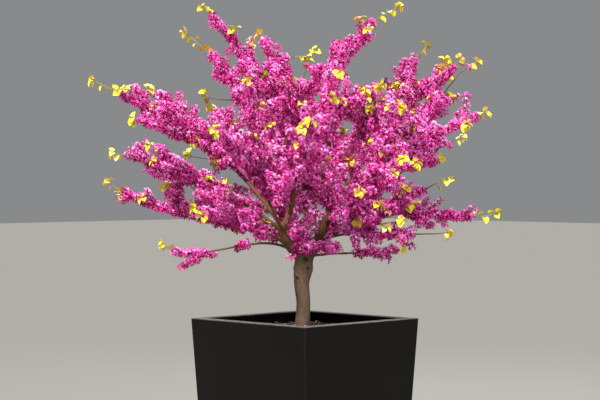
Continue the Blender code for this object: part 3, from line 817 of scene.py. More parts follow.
def soil_finish():
    finish = Finish("damp_soil", Metallic=0.0, Specular_IOR_Level=0.25)
    where = finish.place()
    crumbs = finish.noise(where, CRUMBS, 6.0, 0.7)
    clods = finish.noise(where, CLODS)
    dry = (clods.between(0.45, 0.7) * 0.6 + crumbs.between(0.55, 0.75) * 0.4).clamped()
    dark = finish.mixed(crumbs.between(0.3, 0.6), SOIL_WET, SOIL_DARK)
    finish.feed("Base Color", finish.mixed(dry, dark, SOIL_DRY))
    finish.feed("Roughness", 0.95 - clods.between(0.4, 0.6) * 0.12)
    finish.raised(crumbs, CRUMB_RELIEF)
    return finish.material


finish_piece(make_soil(), "soil_surface", [soil_finish()], ["soil"])

# %% [markdown]
# ## Trunk, leaders and boughs
#
# The limbs of the real tree have no seams: bark flows from the trunk into each fork with a collar
# and a crease. Tubes that only stick into each other would show a hard ring at each joint. So the
# limbs are first drawn as paths with a round section, made into meshes and joined, then the Remesh
# modifier wraps one skin of small squares round them all and Smooth rounds the collars.

# %% A path with a round section
LINE_DETAIL = 0.008
LIMB_SECTION = 6


def smoothed(points, values, step):
    """A line and its values with new points a step apart, on a smooth curve through the old ones."""
    ends = [points[0] * 2 - points[1]] + list(points) + [points[-1] * 2 - points[-2]]
    found, kept = [], []
    for i in range(len(points) - 1):
        before, here, there, after = ends[i : i + 4]
        count = max(1, round((there - here).length / step))
        for k in range(count):
            way = k / count
            square = (before * 2 - here * 5 + there * 4 - after) * way * way
            cube = (here * 3 - before - there * 3 + after) * way**3
            found.append((here * 2 + (there - before) * way + square + cube) / 2)
            kept.append(values[i] + (values[i + 1] - values[i]) * way)
    return found + [points[-1]], kept + [values[-1]]


def evenly(first, last, count):
    """Numbers from a first to a last one, in even steps."""
    return [first + (last - first) * i / (count - 1) for i in range(count)]


def round_path(points, radii):
    """A closed round limb along a line, as a mesh."""
    select_only()
    bpy.ops.curve.primitive_nurbs_path_add()
    limb = bpy.context.active_object
    limb.data.splines.clear()
    spline = limb.data.splines.new("POLY")
    spline.points.add(len(points) - 1)
    for point, at, radius in zip(spline.points, points, radii):
        point.co = (*at, 1)
        point.radius = radius
    limb.data.bevel_depth = 1.0
    limb.data.bevel_resolution = LIMB_SECTION
    limb.data.use_fill_caps = True
    bpy.ops.object.convert(target="MESH")
    return bpy.context.active_object


# %% All limbs in one skin
SKIN = 0.0023
SKIN_SMOOTH = 4
FORK_FLARE = 1.35
FLARE_LENGTH = 0.030
TRUNK_SUNK = 0.012


def flared(points, radii):
    """Radii that are wider where a limb leaves its parent."""
    shares = [max(0.0, 1 - gone / FLARE_LENGTH) for gone in distances(points)]
    return [radius * (1 + (FORK_FLARE - 1) * share) for radius, share in zip(radii, shares)]


def limb_lines():
    """The name, points and radii of each limb."""
    radii = [row[2] for row in TRUNK]
    points = [lines["trunk"][0] - UP * TRUNK_SUNK] + lines["trunk"]
    yield "trunk", points, [radii[0]] + radii
    for name, row in LEADERS.items():
        yield name, lines[name], evenly(*row[4], LEADER_STEPS + 1)
    for name in BOUGHS:
        yield name, *bare_bough(name)


limbs = []
for name, points, radii in limb_lines():
    points, radii = smoothed(points, radii, LINE_DETAIL)
    limbs.append((name, points, radii if name == "trunk" else flared(points, radii)))

select_only(*[round_path(points, radii) for name, points, radii in limbs])
bpy.ops.object.join()
bark = bpy.context.active_object
skin = bark.modifiers.new("Skin", "REMESH")
skin.mode = "VOXEL"
skin.voxel_size = SKIN
rounding = bark.modifiers.new("Collars", "SMOOTH")
rounding.factor = 0.5
rounding.iterations = SKIN_SMOOTH
for modifier in ("Skin", "Collars"):
    bpy.ops.object.modifier_apply(modifier=modifier)
print("one skin of", len(bark.data.polygons), "faces round", len(limbs), "limbs")

# %% [markdown]
# ## Bark relief
#
# Redbud bark is smooth and grey on young wood, with shallow furrows that run along the limb and
# small cross marks. Under the fork it is knobbly, and there are dark knots on the trunk. Real
# relief shows on the outline as well as on the face, so the skin itself is moved. Each point finds
# the limb that it belongs to. Noise that is stretched along that limb gives the furrows.

# %% Furrows, lumps and knots
FURROW_ACROSS = 0.0075
FURROW_ALONG = 0.050
FURROW_DEPTH = 0.010  # share of the limb's radius
FURROW_MOST = 0.00042
FURROW_WAVES = (0.9, 2.0, 3)  # how fast finer waves fade, how much finer each is, and how many
LUMP_SIZE = 0.026
LUMP_RISE = 0.0034
LUMP_WAVES = (0.8, 2.0, 2)
LUMP_HEIGHTS = (0.150, 0.215, 0.300)  # where lumps begin, are strongest and end
KNOTS = (  # bearing, height, width and depth of each knot on the trunk
    (232, 0.177, 0.0100, 0.0042),
    (277, 0.249, 0.0120, 0.0060),
    (300, 0.214, 0.0080, 0.0030),
    (96, 0.128, 0.0090, 0.0036),
    (20, 0.205, 0.0085, 0.0034),
)
KNOT_REACH = 2.5
KNOT_LIP = (1.05, 0.35, 0.55)  # where the lip lies, its spread and its height
KNOT_HOLE = 0.6


def knot_places():
    """The middle of each knot on the trunk's face, with its width and depth."""
    rows = np.array(TRUNK)
    for bearing, height, width, depth in KNOTS:
        lean, radius = (np.interp(height, rows[:, 0], rows[:, k]) for k in (1, 2))
        yield place(0, lean, height) + towards(bearing) * radius, width, depth


def knot_relief(far):
    """The lip and the hole of a knot, at a distance in widths from its middle."""
    lip_at, lip_spread, lip_height = KNOT_LIP
    lip = lip_height * math.exp(-(((far - lip_at) / lip_spread) ** 2))
    return lip - math.exp(-((far / KNOT_HOLE) ** 2))


def carve(bark):
    """Move the skin's points along their normals to make the bark's relief."""
    tree = kdtree.KDTree(sum(len(points) for name, points, radii in limbs))
    owners = []
    for number, (name, points, radii) in enumerate(limbs):
        for i, gone in enumerate(distances(points)):
            tree.insert(points[i], len(owners))
            owners.append((points[i], way_at(points, i), radii[i], gone + number))
    tree.balance()
    knots = list(knot_places())
    low, strongest, high = LUMP_HEIGHTS
    moved = []
    for corner in bark.data.vertices:
        point, way, radius, gone = owners[tree.find(corner.co)[1]]
        away = corner.co - point
        along = away.dot(way)
        across = away - way * along
        where = across / FURROW_ACROSS + way * ((gone + along) / FURROW_ALONG)
        move = min(FURROW_DEPTH * radius, FURROW_MOST) * noise.fractal(where, *FURROW_WAVES)
        height = corner.co.z - SOIL_TOP
        lumpy = held((height - low) / (strongest - low)) * held((high - height) / (high - strongest))
        if lumpy:
            move += LUMP_RISE * lumpy * noise.fractal(corner.co / LUMP_SIZE, *LUMP_WAVES)
        for middle, width, depth in knots:
            far = (corner.co - middle).length / width
            if far < KNOT_REACH:
                move += depth * knot_relief(far)
        moved.append(corner.co + corner.normal * move)
    for corner, at in zip(bark.data.vertices, moved):
        corner.co = at


carve(bark)
select_only(bark)
bpy.ops.object.shade_smooth()

# %% [markdown]
# ## Bark finish
#
# The trunk is a warm pale grey-brown, browner and more mottled towards the fork, and the boughs are
# a yellower brown. Small pale cross marks dot the young wood. The knots are nearly black. All this
# depends on the height above the soil and on noise, so plain object places are enough.

# %% The bark's finish
BARK_GREY = "74614E"
BARK_BROWN = "624E3A"
BARK_DARK = "3E2C1C"
BARK_PALE = "9C8A74"
BARK_STAINED = "4A2F26"
LIMB_BROWN = "7C5C38"
KNOT_DARK = "2A1B14"
STAIN_HEIGHT = 0.030
MOTTLED = (0.15, 0.30)  # heights between which the bark gets browner
LIMBS_ABOVE_FORK = 0.14  # height over the fork where the limbs' own brown is full
BARK_GRAIN = 0.0006
STREAKS, BLOTCHES, MARKS, PITS = 150.0, 42.0, 210.0, 190.0  # noise, by how many waves a metre has


def bark_finish():
    finish = Finish("redbud_bark", Metallic=0.0, Specular_IOR_Level=0.3)
    where = finish.place()
    height = finish.split(where)[2]
    streaks = finish.noise(finish.place(scale=(1, 1, 0.22)), STREAKS, 5.0, 0.6)
    blotches = finish.noise(where, BLOTCHES, 4.0, 0.6)
    marks = finish.noise(finish.place(scale=(0.5, 0.5, 2.6)), MARKS, 2.0, 0.5)
    upper = height.between(*[SOIL_TOP + each for each in MOTTLED])
    grey = finish.mixed(streaks.between(0.35, 0.68), BARK_BROWN, BARK_GREY)
    trunk = finish.mixed((1 - streaks.between(0.28, 0.42)) * 0.5, grey, BARK_DARK)
    brown = finish.mixed(blotches.between(0.40, 0.62), BARK_DARK, BARK_BROWN)
    mottled = finish.mixed((upper * 0.8 * blotches.between(0.35, 0.6)).clamped(), trunk, brown)
    fork = SOIL_TOP + FORK_HEIGHT
    over_fork = height.between(fork, fork + LIMBS_ABOVE_FORK) * 0.85
    limbs_too = finish.mixed(over_fork, mottled, LIMB_BROWN)
    dotted = finish.mixed(marks.between(0.66, 0.74) * 0.5, limbs_too, BARK_PALE)
    crumbly = finish.noise(where, PITS, 4.0, 0.7).between(0.50, 0.60)
    pitted = finish.mixed(upper * crumbly * 0.5, dotted, BARK_DARK)
    stain = (1 - height.between(SOIL_TOP, SOIL_TOP + STAIN_HEIGHT)) * blotches.between(0.3, 0.5)
    tone = finish.mixed(stain * 0.7, pitted, BARK_STAINED)
    for middle, width, depth in knot_places():
        far = finish.node(
            "ShaderNodeVectorMath", {"operation": "DISTANCE"}, {0: where, 1: middle}, "Value"
        )
        dark = 1 - far.between(width * 0.35, width * 1.25)
        tone = finish.mixed(dark * 0.85, tone, KNOT_DARK)
    finish.feed("Base Color", tone)
    finish.feed("Roughness", streaks * 0.2 + 0.70)
    finish.raised(streaks * 0.6 + marks * 0.4, BARK_GRAIN)
    return finish.material


finish_piece(bark, "bark", [bark_finish()], ["trunk", *LEADERS, *BOUGHS])

# %% [markdown]
# ## Twigs
#
# Inside each body of blossom runs bare wood: the bough's own line to its tip, the branches that
# leave it, side twigs, and on all of these short spurs that carry the flowers. A redbud twig bends a
# little at every node, to one side and then to the other. There are thousands of spurs, so their
# corners are worked out as arrays and joined into one mesh.

# %% Stems and side twigs along their curves
STEM_DETAIL = 0.012
NODE_STEP = 0.034  # from one bend of a twig to the next
BEND = 0.0022
BEND_AT_TIP = 0.3
BRANCH_SHARE = 0.72  # radius of a branch where it leaves its bough, as a share of the bough's
STEM_END = 0.0013
SIDE_STEM = (0.0021, 0.0010)
SHOOT_END = 0.0007


class Stem:
    """A twig: its curve, the radii of its wood, and the radii of the blossom round it."""

    def __init__(self, owner, kind, points, wood, sleeve, blossom_end, shoot):
        self.owner, self.kind, self.points, self.wood = owner, kind, points, wood
        self.sleeve, self.blossom_end, self.shoot = sleeve, blossom_end, shoot
        self.length = length_of(points)

    def sleeve_at(self, distance):
        return float(np.interp(distance, *self.sleeve))


def zigzag(points, chance):
    """The same line with a small bend at each node, to one side and then to the other."""
    whole, way = length_of(points), points[-1] - points[0]
    side = way.orthogonal().normalized()
    side.rotate(Quaternion(way.normalized(), chance.uniform(0, math.tau)))
    bent = [points[0]]
    for gone, point in zip(distances(points)[1:], points[1:]):
        swing = 1 - 2 * abs(gone / NODE_STEP % 2 - 1)
        ease = min(1.0, gone / NODE_STEP, (whole - gone) / NODE_STEP + BEND_AT_TIP)
        bent.append(point + side * (BEND * swing * ease))
    return bent


def bough_stems(name, twigs, chance):
    """The stems of one mass: the mains along their curves, and the side twigs."""
    bare, tips = BOUGHS[name][3:]
    mains = main_lines(name)
    for number, (kind, points, radii, shoot) in enumerate(twigs):
        line, (first, last) = points, SIDE_STEM
        if kind == "main":
            line, last = mains[number], STEM_END
            first = bough_radius(name, tips[number][4] if number else bare)
            first *= BRANCH_SHARE if number else 1
        blossom_end = length_of(line) - shoot
        line, wood = smoothed(line, evenly(first, last, len(line)), STEM_DETAIL)
        line = zigzag(line, chance)
        if shoot:
            ends = np.linspace(0, length_of(line), len(line))
            wood = [r if end < blossom_end else min(r, last) for r, end in zip(wood, ends)]
            wood[-1] = SHOOT_END
        yield Stem(name, kind, line, wood, (distances(points), radii), blossom_end, shoot)


chance = random.Random(SEED)
stems = []
for name, twigs in masses.items():
    stems += bough_stems(name, twigs, chance)
print(len(stems), "stems,", round(sum(stem.length for stem in stems), 1), "m of wood in blossom")

# %% [markdown]
# ## Open and full places
#
# Two crowns that grow by one rule can still look different, because each has its own gaps. On this
# tree the plumes stay apart towards the rim, and the limbs over the fork show between the flowers.
# Each gap could be left to chance. Here a few strips say where the sky or a limb shows from the
# front, and a few round places say where twigs stand close, and the rule asks them as it grows.

# %% Where the crown is open and where it is full
CAMERA_AWAY = 7.0
CAMERA_HEIGHT = 1.14
CAMERA_ACROSS = -0.0179
RIGHT, AWAY = towards(0), towards(90)
GAPS = (  # sky between the plumes: across and height of both ends, and half its width
    (-0.576, 0.412, -0.271, 0.327, 0.03),
    (-0.494, 0.669, -0.356, 0.598, 0.03),
    (-0.68, 0.606, -0.613, 0.594, 0.022),
    (-0.635, 0.743, -0.524, 0.699, 0.022),
    (-0.527, 0.911, -0.494, 0.873, 0.015),
    (-0.397, 0.896, -0.286, 0.836, 0.03),
    (-0.178, 1.052, -0.159, 0.996, 0.019),
    (-0.029, 0.985, 0.016, 0.922, 0.022),
    (0.071, 0.985, 0.079, 1.037, 0.019),
    (0.257, 1.045, 0.176, 0.955, 0.026),
    (0.585, 0.948, 0.533, 0.873, 0.026),
    (0.432, 1.0, 0.432, 0.933, 0.019),
    (0.674, 0.736, 0.555, 0.687, 0.022),
    (0.503, 0.658, 0.555, 0.643, 0.019),
    (0.369, 0.568, 0.503, 0.501, 0.022),
    (0.54, 0.449, 0.622, 0.464, 0.022),
    (0.28, 0.364, 0.347, 0.405, 0.022),
    (0.421, 0.338, 0.548, 0.349, 0.022),
    (-0.427, 0.312, -0.278, 0.286, 0.022),
    (0.124, 0.241, 0.369, 0.219, 0.022),
    (-0.092, 0.226, 0.094, 0.222, 0.022),
    (0.124, 0.338, 0.168, 0.271, 0.022),
    (-0.051, 1.03, -0.044, 0.985, 0.015),
)
LIMBS_SEEN = (  # limbs that show between the flowers, in the same way
    (-0.055, 0.289, -0.07, 0.315, 0.022),
    (-0.062, 0.304, -0.089, 0.375, 0.026),
    (-0.081, 0.375, -0.048, 0.457, 0.019),
    (-0.048, 0.457, -0.036, 0.546, 0.015),
    (-0.089, 0.371, -0.152, 0.464, 0.02),
    (-0.152, 0.464, -0.286, 0.594, 0.017),
    (-0.092, 0.36, -0.159, 0.412, 0.015),
    (-0.048, 0.271, -0.204, 0.304, 0.015),
    (0.06, 0.33, 0.09, 0.423, 0.02),
    (-0.055, 0.613, -0.077, 0.702, 0.011),
    (0.138, 0.49, 0.183, 0.576, 0.013),
)
FULL_PLACES = (  # across, height and reach of the places where twigs stand close
    (0.54, 0.792, 0.082),
    (0.049, 0.323, 0.052),
    (0.101, 0.513, 0.089),
    (-0.185, 0.423, 0.037),
    (-0.557, 0.639, 0.037),
    (0.25, 0.687, 0.074),
    (0.272, 0.821, 0.052),
    (0.004, 0.42, 0.082),
    (0.161, 0.754, 0.06),
    (0.291, 0.587, 0.052),
    (0.458, 0.866, 0.052),
    (0.466, 0.784, 0.067),
    (0.15, 0.799, 0.052),
    (0.362, 0.754, 0.06),
)


def seen_at(point):
    """Where a point shows from the front: across, and above the soil, measured at the trunk."""
    closer = CAMERA_AWAY / (CAMERA_AWAY + point.dot(AWAY))
    height = (point.z - CAMERA_HEIGHT) * closer + CAMERA_HEIGHT - SOIL_TOP
    return (point.dot(RIGHT) - CAMERA_ACROSS) * closer + CAMERA_ACROSS, height


def in_strip(point, strips):
    """Whether a point shows inside one of these strips."""
    across, height = seen_at(point)
    for x, z, end_x, end_z, wide in strips:
        run, rise = end_x - x, end_z - z
        share = held(((across - x) * run + (height - z) * rise) / (run * run + rise * rise))
        if math.hypot(across - x - run * share, height - z - rise * share) < wide:
            return True
    return False


def in_gap(point):
    """Whether a flower at a point would close the sky, or hide a limb that shows."""
    in_front = point.dot(AWAY) < 0
    return in_strip(point, GAPS) or (in_front and in_strip(point, LIMBS_SEEN))


def is_full(point):
    """Whether a point shows where twigs stand close."""
    across, height = seen_at(point)
    return any(math.hypot(across - x, height - z) < reach for x, z, reach in FULL_PLACES)


# %% [markdown]
# ## Finer twigs
#
# A redbud's twigs branch once more than the part's solids show. The rule goes on one step: short
# twigs leave every stem, and the bare foot of every bough, by the same golden turn. In the middle
# of the crown they are long and close the space between the boughs. Towards the rim they get short,
# so the plumes there stay apart. A twig that runs into a gap ends there.

# %% Short twigs on every stem
FINE_STEP = 0.042
FINE_STEP_SPREAD = (0.75, 1.25)
FINE_FIRST = 0.020
FINE_LENGTH = (0.118, 0.042)  # in the middle of the crown and at its rim
FINE_LENGTH_SPREAD = (0.7, 1.2)
FINE_SHORTEST = 0.036
FINE_LEAN = (32.0, 58.0)
FINE_RISE = 0.12
FINE_SLEEVE = (0.0225, 0.0150)
FINE_STEM = (0.0014, 0.0008)
FINE_POINTS = 6
FINE_LEAFY = 0.05
FULL_LENGTH = 0.095  # least length of a twig in a full place
FULL_STEP = 0.45  # how much closer twigs stand there
LEAST_POINTS = 4
CROWN_MIDDLE = place(0, 0, 0.42)
CROWN_RADIUS = 0.74
CROWN_INNER = 0.25
BOX_SPARE = 0.012


def outness(point):
    """0 in the middle of the crown and 1 at its rim."""
    away = (point - CROWN_MIDDLE).length / CROWN_RADIUS
    return held((away - CROWN_INNER) / (1 - CROWN_INNER))


def inside_box(point):
    """Whether a point stays inside the part's own box with some room round it."""
    low, high = cad_box
    return all(low[i] + BOX_SPARE < point[i] < high[i] - BOX_SPARE for i in range(3))


def fine_twig(stem, at, turn, chance):
    """One short twig that leaves a stem at a distance along it, or None where it has no room."""
    root, heading = point_after(stem.points, at)
    middle, rim = FINE_LENGTH
    length = middle + (rim - middle) * outness(root)
    if is_full(root):
        length = max(length, FULL_LENGTH)
    length *= chance.uniform(*FINE_LENGTH_SPREAD)
    way = leaning(heading, turn, math.radians(chance.uniform(*FINE_LEAN)))
    shoot = LEAFY_END if chance.random() < FINE_LEAFY else 0.0
    tip = root + way * length + UP * (FINE_RISE * length)
    if length < FINE_SHORTEST or not inside_box(tip) or in_gap(tip):
        return None
    points = []
    for share in evenly(0, 1, FINE_POINTS):
        points.append(root + way * length * share + UP * (FINE_RISE * length * share**2))
    whole, wood = length_of(points), evenly(*FINE_STEM, FINE_POINTS)
    sleeve = ((0.0, whole), FINE_SLEEVE)
    return Stem(stem.owner, "fine", zigzag(points, chance), wood, sleeve, whole - shoot, shoot)


def cut_at_gap(stem):
    """The stem, or what is left of it before it enters a gap; None where that is too short."""
    for i, point in enumerate(stem.points):
        if in_strip(point, GAPS):
            if i < LEAST_POINTS:
                return None
            stem.points, stem.wood = stem.points[:i], stem.wood[:i]
            stem.length = stem.blossom_end = length_of(stem.points)
            stem.shoot = 0.0
            return stem
    return stem


def fine_twigs(stem, chance):
    """The short twigs of one stem."""
    turn, at = chance.uniform(0, 360), FINE_FIRST
    while at < stem.blossom_end - FINE_FIRST:
        turn += GOLDEN_TURN
        twig = fine_twig(stem, at, turn, chance)
        if twig and cut_at_gap(twig):
            yield twig
        step = FINE_STEP * (FULL_STEP if is_full(point_after(stem.points, at)[0]) else 1.0)
        at += step * chance.uniform(*FINE_STEP_SPREAD)


stems = [stem for stem in stems if stem.kind == "main" or cut_at_gap(stem)]
limb_ends = []
for name in BOUGHS:
    points, radii = bare_bough(name)
    limb_ends.append(Stem(name, "limb", points, radii, None, length_of(points), 0.0))
fine = []
for stem in stems + limb_ends:
    if BOUGHS[stem.owner][3] <= SPARSE_FROM:
        fine += fine_twigs(stem, chance)
stems += fine
print(len(fine), "finer twigs,", round(sum(stem.length for stem in fine), 1), "m")

# %% Tubes as arrays


def rings(points, radii, sides):
    """Corners and faces of a closed tube along a line."""
    corners, heading = [], (points[1] - points[0]).normalized()
    across = heading.orthogonal().normalized()
    for i, (point, radius) in enumerate(zip(points, radii)):
        way = way_at(points, i)
        across.rotate(heading.rotation_difference(way))
        heading = way
        for k in range(sides):
            turned = across.copy()
            turned.rotate(Quaternion(way, math.tau * k / sides))
            corners.append(point + turned * radius)
    faces = []
    for i in range(len(points) - 1):
        low, high = i * sides, (i + 1) * sides
        for k in range(sides):
            after = (k + 1) % sides
            faces.append((low + k, low + after, high + after, high + k))
    faces.append(tuple(range(sides - 1, -1, -1)))
    faces.append(tuple(range((len(points) - 1) * sides, len(points) * sides)))
    return corners, faces


def cone(root, tip, radius):
    """Corners and faces of a closed three-sided spike from root to tip."""
    corners = rings([root, tip], (radius, 0.0), 3)[0]
    return corners[:4], [(0, 1, 3), (1, 2, 3), (2, 0, 3), (2, 1, 0)]


def smooth_object(name, corners, faces, finishes):
    """An object with one smooth mesh, from its corners, its faces and the finish of each face."""
    mesh = bpy.data.meshes.new(name)
    mesh.from_pydata(corners, [], faces)
    mesh.polygons.foreach_set("material_index", np.array(finishes, dtype=np.int32))
    mesh.polygons.foreach_set("use_smooth", np.ones(len(faces), dtype=bool))
    mesh.update()
    thing = bpy.data.objects.new(name, mesh)
    bpy.context.scene.collection.objects.link(thing)
    return thing


class Joined:
    """Many small shapes that are gathered into one mesh."""

    def __init__(self):
        self.corners, self.faces, self.finishes, self.count = [], [], [], 0

    def add(self, corners, faces, finish):
        self.corners.append(np.array([corner[:] for corner in corners]))
        self.faces += [tuple(self.count + k for k in face) for face in faces]
        self.finishes += [finish] * len(faces)
        self.count += len(corners)

    def made(self, name):
        return smooth_object(name, np.concatenate(self.corners), self.faces, self.finishes)


# %% [markdown]
# ## Spurs
#
# Flowers don't sit on the wood itself but on short spurs, a few millimetres to two centimetres
# long. Their length is what gives a plume its thickness: a spur reaches as far as the body of
# blossom in the part does there, less the length of a flower. A spur that would stand in a gap, or
# in front of a limb that shows, is left out, or kept as short as it can be on a main stem.

# %% Where the spurs stand
SPUR_STEPS = {"main": 0.0052, "side": 0.0056, "fine": 0.0082}
SPUR_STEP_SPREAD = (0.75, 1.25)
SPUR_TURN = 18.0
FIRST_SPUR = 0.010
SPUR_LEAN = (52.0, 86.0)
SPUR_FORWARD = 0.35  # how far the last spurs of a twig lean towards its tip
SPUR_FILL = (0.42, 1.10)
SPUR_SHORTEST = 0.0025
LEAST_ROOM = {"main": 0.026, "side": 0.023, "fine": 0.018}
FLOWER_REACH = 0.0155  # from the end of a spur to the end of a flower
SPUR_WOOD = 0.0011


class Spur:
    """A short twig with a spray of flowers at its end."""

    def __init__(self, stem, root, way, reach, room):
        self.stem, self.root, self.way, self.room = stem, root, way, room
        self.tip = root + way * reach


def stem_spurs(stem, chance):
    """The spurs of one stem, each with its place and the way it points."""
    turn = chance.uniform(0, 360)
    at = BARE_START if stem.kind == "main" else FIRST_SPUR
    while at < stem.blossom_end:
        share = at / stem.blossom_end
        point, heading = point_after(stem.points, at)
        room = max(LEAST_ROOM[stem.kind], stem.sleeve_at(at))
        turn += GOLDEN_TURN + chance.uniform(-SPUR_TURN, SPUR_TURN)
        reach = max(SPUR_SHORTEST, room * chance.uniform(*SPUR_FILL) - FLOWER_REACH)
        lean = math.radians(chance.uniform(*SPUR_LEAN)) * (1 - SPUR_FORWARD * share**4)
        way = leaning(heading, turn, lean).normalized()
        at += SPUR_STEPS[stem.kind] * chance.uniform(*SPUR_STEP_SPREAD)
        if in_gap(point + way * (reach + FLOWER_REACH / 2)):
            if stem.kind != "main" or in_gap(point + way * FLOWER_REACH):
                continue
            reach = SPUR_SHORTEST
        yield Spur(stem, point, way, reach, room)


spurs = [spur for stem in stems for spur in stem_spurs(stem, chance)]
print(len(spurs), "spurs")

# %% Wood of the twigs
TWIG_TINTS = {"old_twig": "54402F", "young_twig": "5E4434", "shoot_twig": "8C8A45"}
OLD_TWIG, YOUNG_TWIG, SHOOT_TWIG = range(len(TWIG_TINTS))
STEM_SIDES = {"main": 7, "side": 5, "fine": 4}
SHOOT_SIDES = 5


def bare_from(stem):
    """The number of the point where a stem's bare leafy end begins."""
    count = len(stem.points)
    for i in range(count):
        if i * stem.length / (count - 1) > stem.blossom_end:
            return i
    return count


wood = Joined()
for stem in stems:
    cut = bare_from(stem)
    finish = OLD_TWIG if stem.kind == "main" else YOUNG_TWIG
    wood.add(*rings(stem.points[: cut + 1], stem.wood[: cut + 1], STEM_SIDES[stem.kind]), finish)
    if cut < len(stem.points) - 1:
        wood.add(*rings(stem.points[cut:], stem.wood[cut:], SHOOT_SIDES), SHOOT_TWIG)
for spur in spurs:
    wood.add(*cone(spur.root, spur.tip, SPUR_WOOD), YOUNG_TWIG)
twig_finishes = plain_finishes(TWIG_TINTS, roughness=0.7)
finish_piece(wood.made("twigs"), "twigs", twig_finishes)

# %% [markdown]
# ## One flower
#
# A redbud flower is like a small pea flower, about 12 mm long, on a thin stalk. A dark cup holds a
# folded keel, which is the largest part, with two wings above it and the banner between them. It
# could be modelled smooth, but the crown needs tens of thousands of them. So it is a table of a few
# corners, with 15 faces: folded banner, two wings, a pointed keel, and a slim cone for stalk and
# cup. Banner, wings, keel and cup are finishes 0 to 3 on it, so that each spray gets its own shades.

# %% The flower's parts
WING_FACES = [(0, 1, 2), (0, 2, 3)]
FLOWER_PARTS = (  # corners in millimetres (across, up, out along the stalk), faces and finish
    ([(0, 0.6, 7.5), (-3.9, 4.6, 9.6), (0, 7.6, 9.0), (3.9, 4.6, 9.6), (0, 4.2, 8.2)],
     [(0, 4, 1), (1, 4, 2), (2, 4, 3), (3, 4, 0)], 0),
    ([(-0.6, 0.2, 7.6), (-5.6, 0.4, 10.4), (-5.0, 3.6, 13.2), (-1.4, 2.2, 12.2)], WING_FACES, 1),
    ([(0.6, 0.2, 7.6), (1.4, 2.2, 12.2), (5.0, 3.6, 13.2), (5.6, 0.4, 10.4)], WING_FACES, 1),
    ([(0, 0.2, 7.0), (-2.7, -0.6, 11.0), (0, -4.6, 10.0), (2.7, -0.6, 11.0), (0, -2.6, 14.6)],
     [(0, 2, 1), (0, 3, 2), (1, 2, 4), (2, 3, 4)], 2),
    ([(0, 0, 0), (0, 2.1, 7.9), (-1.8, -1.1, 7.9), (1.8, -1.1, 7.9)],
     [(0, 1, 2), (0, 2, 3), (0, 3, 1)], 3),
)
CUP = 3
MILLIMETRE = 0.001


def flower_shape():
    """Corners, faces and finishes of one flower, its stalk starting at the origin along +Z."""
    corners, faces, finishes = [], [], []
    for points, part_faces, finish in FLOWER_PARTS:
        faces += [tuple(len(corners) + k for k in face) for face in part_faces]
        finishes += [finish] * len(part_faces)
        corners += points
    return np.array(corners, float) * MILLIMETRE, np.array(faces), np.array(finishes)


flower, flower_faces, flower_finishes = flower_shape()
print("a flower has", len(flower_faces), "faces and is", round(np.ptp(flower[:, 2]) * 1000, 1), "mm long")

# %% [markdown]
# ## Sprays of flowers
#
# Each spur carries a spray: its flowers stand out from the spur's end in all directions, spaced by
# the golden angle, with their banners up. Thousands of flowers are placed by arrays: a flower's
# corners are turned by three directions, scaled and moved, all at once.

# %% Placing the sprays
SPRAY_FLOWERS = {"main": (6, 9), "side": (5, 9), "fine": (4, 7)}
SPRAY_SPREAD = 100.0
FEWEST = 3
FLOWER_SIZE = (1.08, 1.42)
FULL_ROOM = 0.033
MOST_FULL = 1.15
FLOWER_NOD = (-0.25, 0.15)
UPRIGHT = 0.2
BANNER_TURN = 38.0


def spray(spur, chance):
    """Each flower of a spur: its place, the way it points, its up and its size."""
    full = min(MOST_FULL, spur.room / FULL_ROOM)
    count = max(FEWEST, round(chance.uniform(*SPRAY_FLOWERS[spur.stem.kind]) * full))
    aside = spur.way.orthogonal().normalized()
    start = chance.uniform(0, math.tau)
    low = math.cos(math.radians(SPRAY_SPREAD))
    for k in range(count):
        rise = 1 - (k + 0.5) / count * (1 - low)
        turned = aside.copy()
        turned.rotate(Quaternion(spur.way, start + math.radians(GOLDEN_TURN) * k))
        way = spur.way * rise + turned * math.sqrt(max(0.0, 1 - rise * rise))
        way = (way + UP * chance.uniform(*FLOWER_NOD)).normalized()
        up = UP - way * way.z
        if up.length < UPRIGHT:
            up = turned - way * turned.dot(way)
        up.normalize()
        up.rotate(Quaternion(way, math.radians(chance.uniform(-BANNER_TURN, BANNER_TURN))))
        yield spur.tip[:], way[:], up[:], chance.uniform(*FLOWER_SIZE)


# %% [markdown]
# ## Shades
#
# The plumes aren't one pink, and light and shade are painted into them. Sprays near the top and
# sprays that point up are painted pale and bright, as if lit from above, and those low down or that
# point down are painted magenta to purple, as if in shade. A spray gets one tone, and its flowers'
# banner, wings and keel are one step apart: the banner on top is painted lighter and the keel below
# darker. These are plain colours, one finish for each, dealt out by spray.

# %% Tones
# The palest tones stand for painted light and the deepest for painted shade, with the flowers' magenta
# between
LIT_TO_SHADED_TONES = ["FFC2F2", "FF99E4", "FF75D3", "F754BE", "E639A4", "C4217E", "961250", "660830"]
# Cups are painted darker in sprays whose tone is shaded deeper
CUP_TONES = ["A81E60", "7A103C", "570928"]
TONES_TO_A_CUP = 3
# Painted light and shade on each flower: the banner on top a step lighter, the keel below a step darker
PART_LIGHT_STEP = (-0.9, 0, 0.9, 0)  # banner, wings, keel and cup against the spray's tone
# Painted light and shade: between these heights a spray's tone goes from darker at the foot to paler at
# the top
PAINTED_LIGHT_HEIGHTS = (0.25, 0.75)
SHADED_TONE_AT_FOOT = 2.7
LIT_TONE_AT_TOP = 2.3
TONE_SPREAD = 1.3
LEAST_TONE, MOST_TONE = 0.6, 6.4
# Painted light: a spray that points up, towards the high sun, is painted this much paler
PAINTED_LIGHT_UPWARD = 0.7  # how much paler a spray is that points up
FLOWER_TONE = 0.6  # how far the flowers of one spray differ
PETAL_SHINE = 0.25


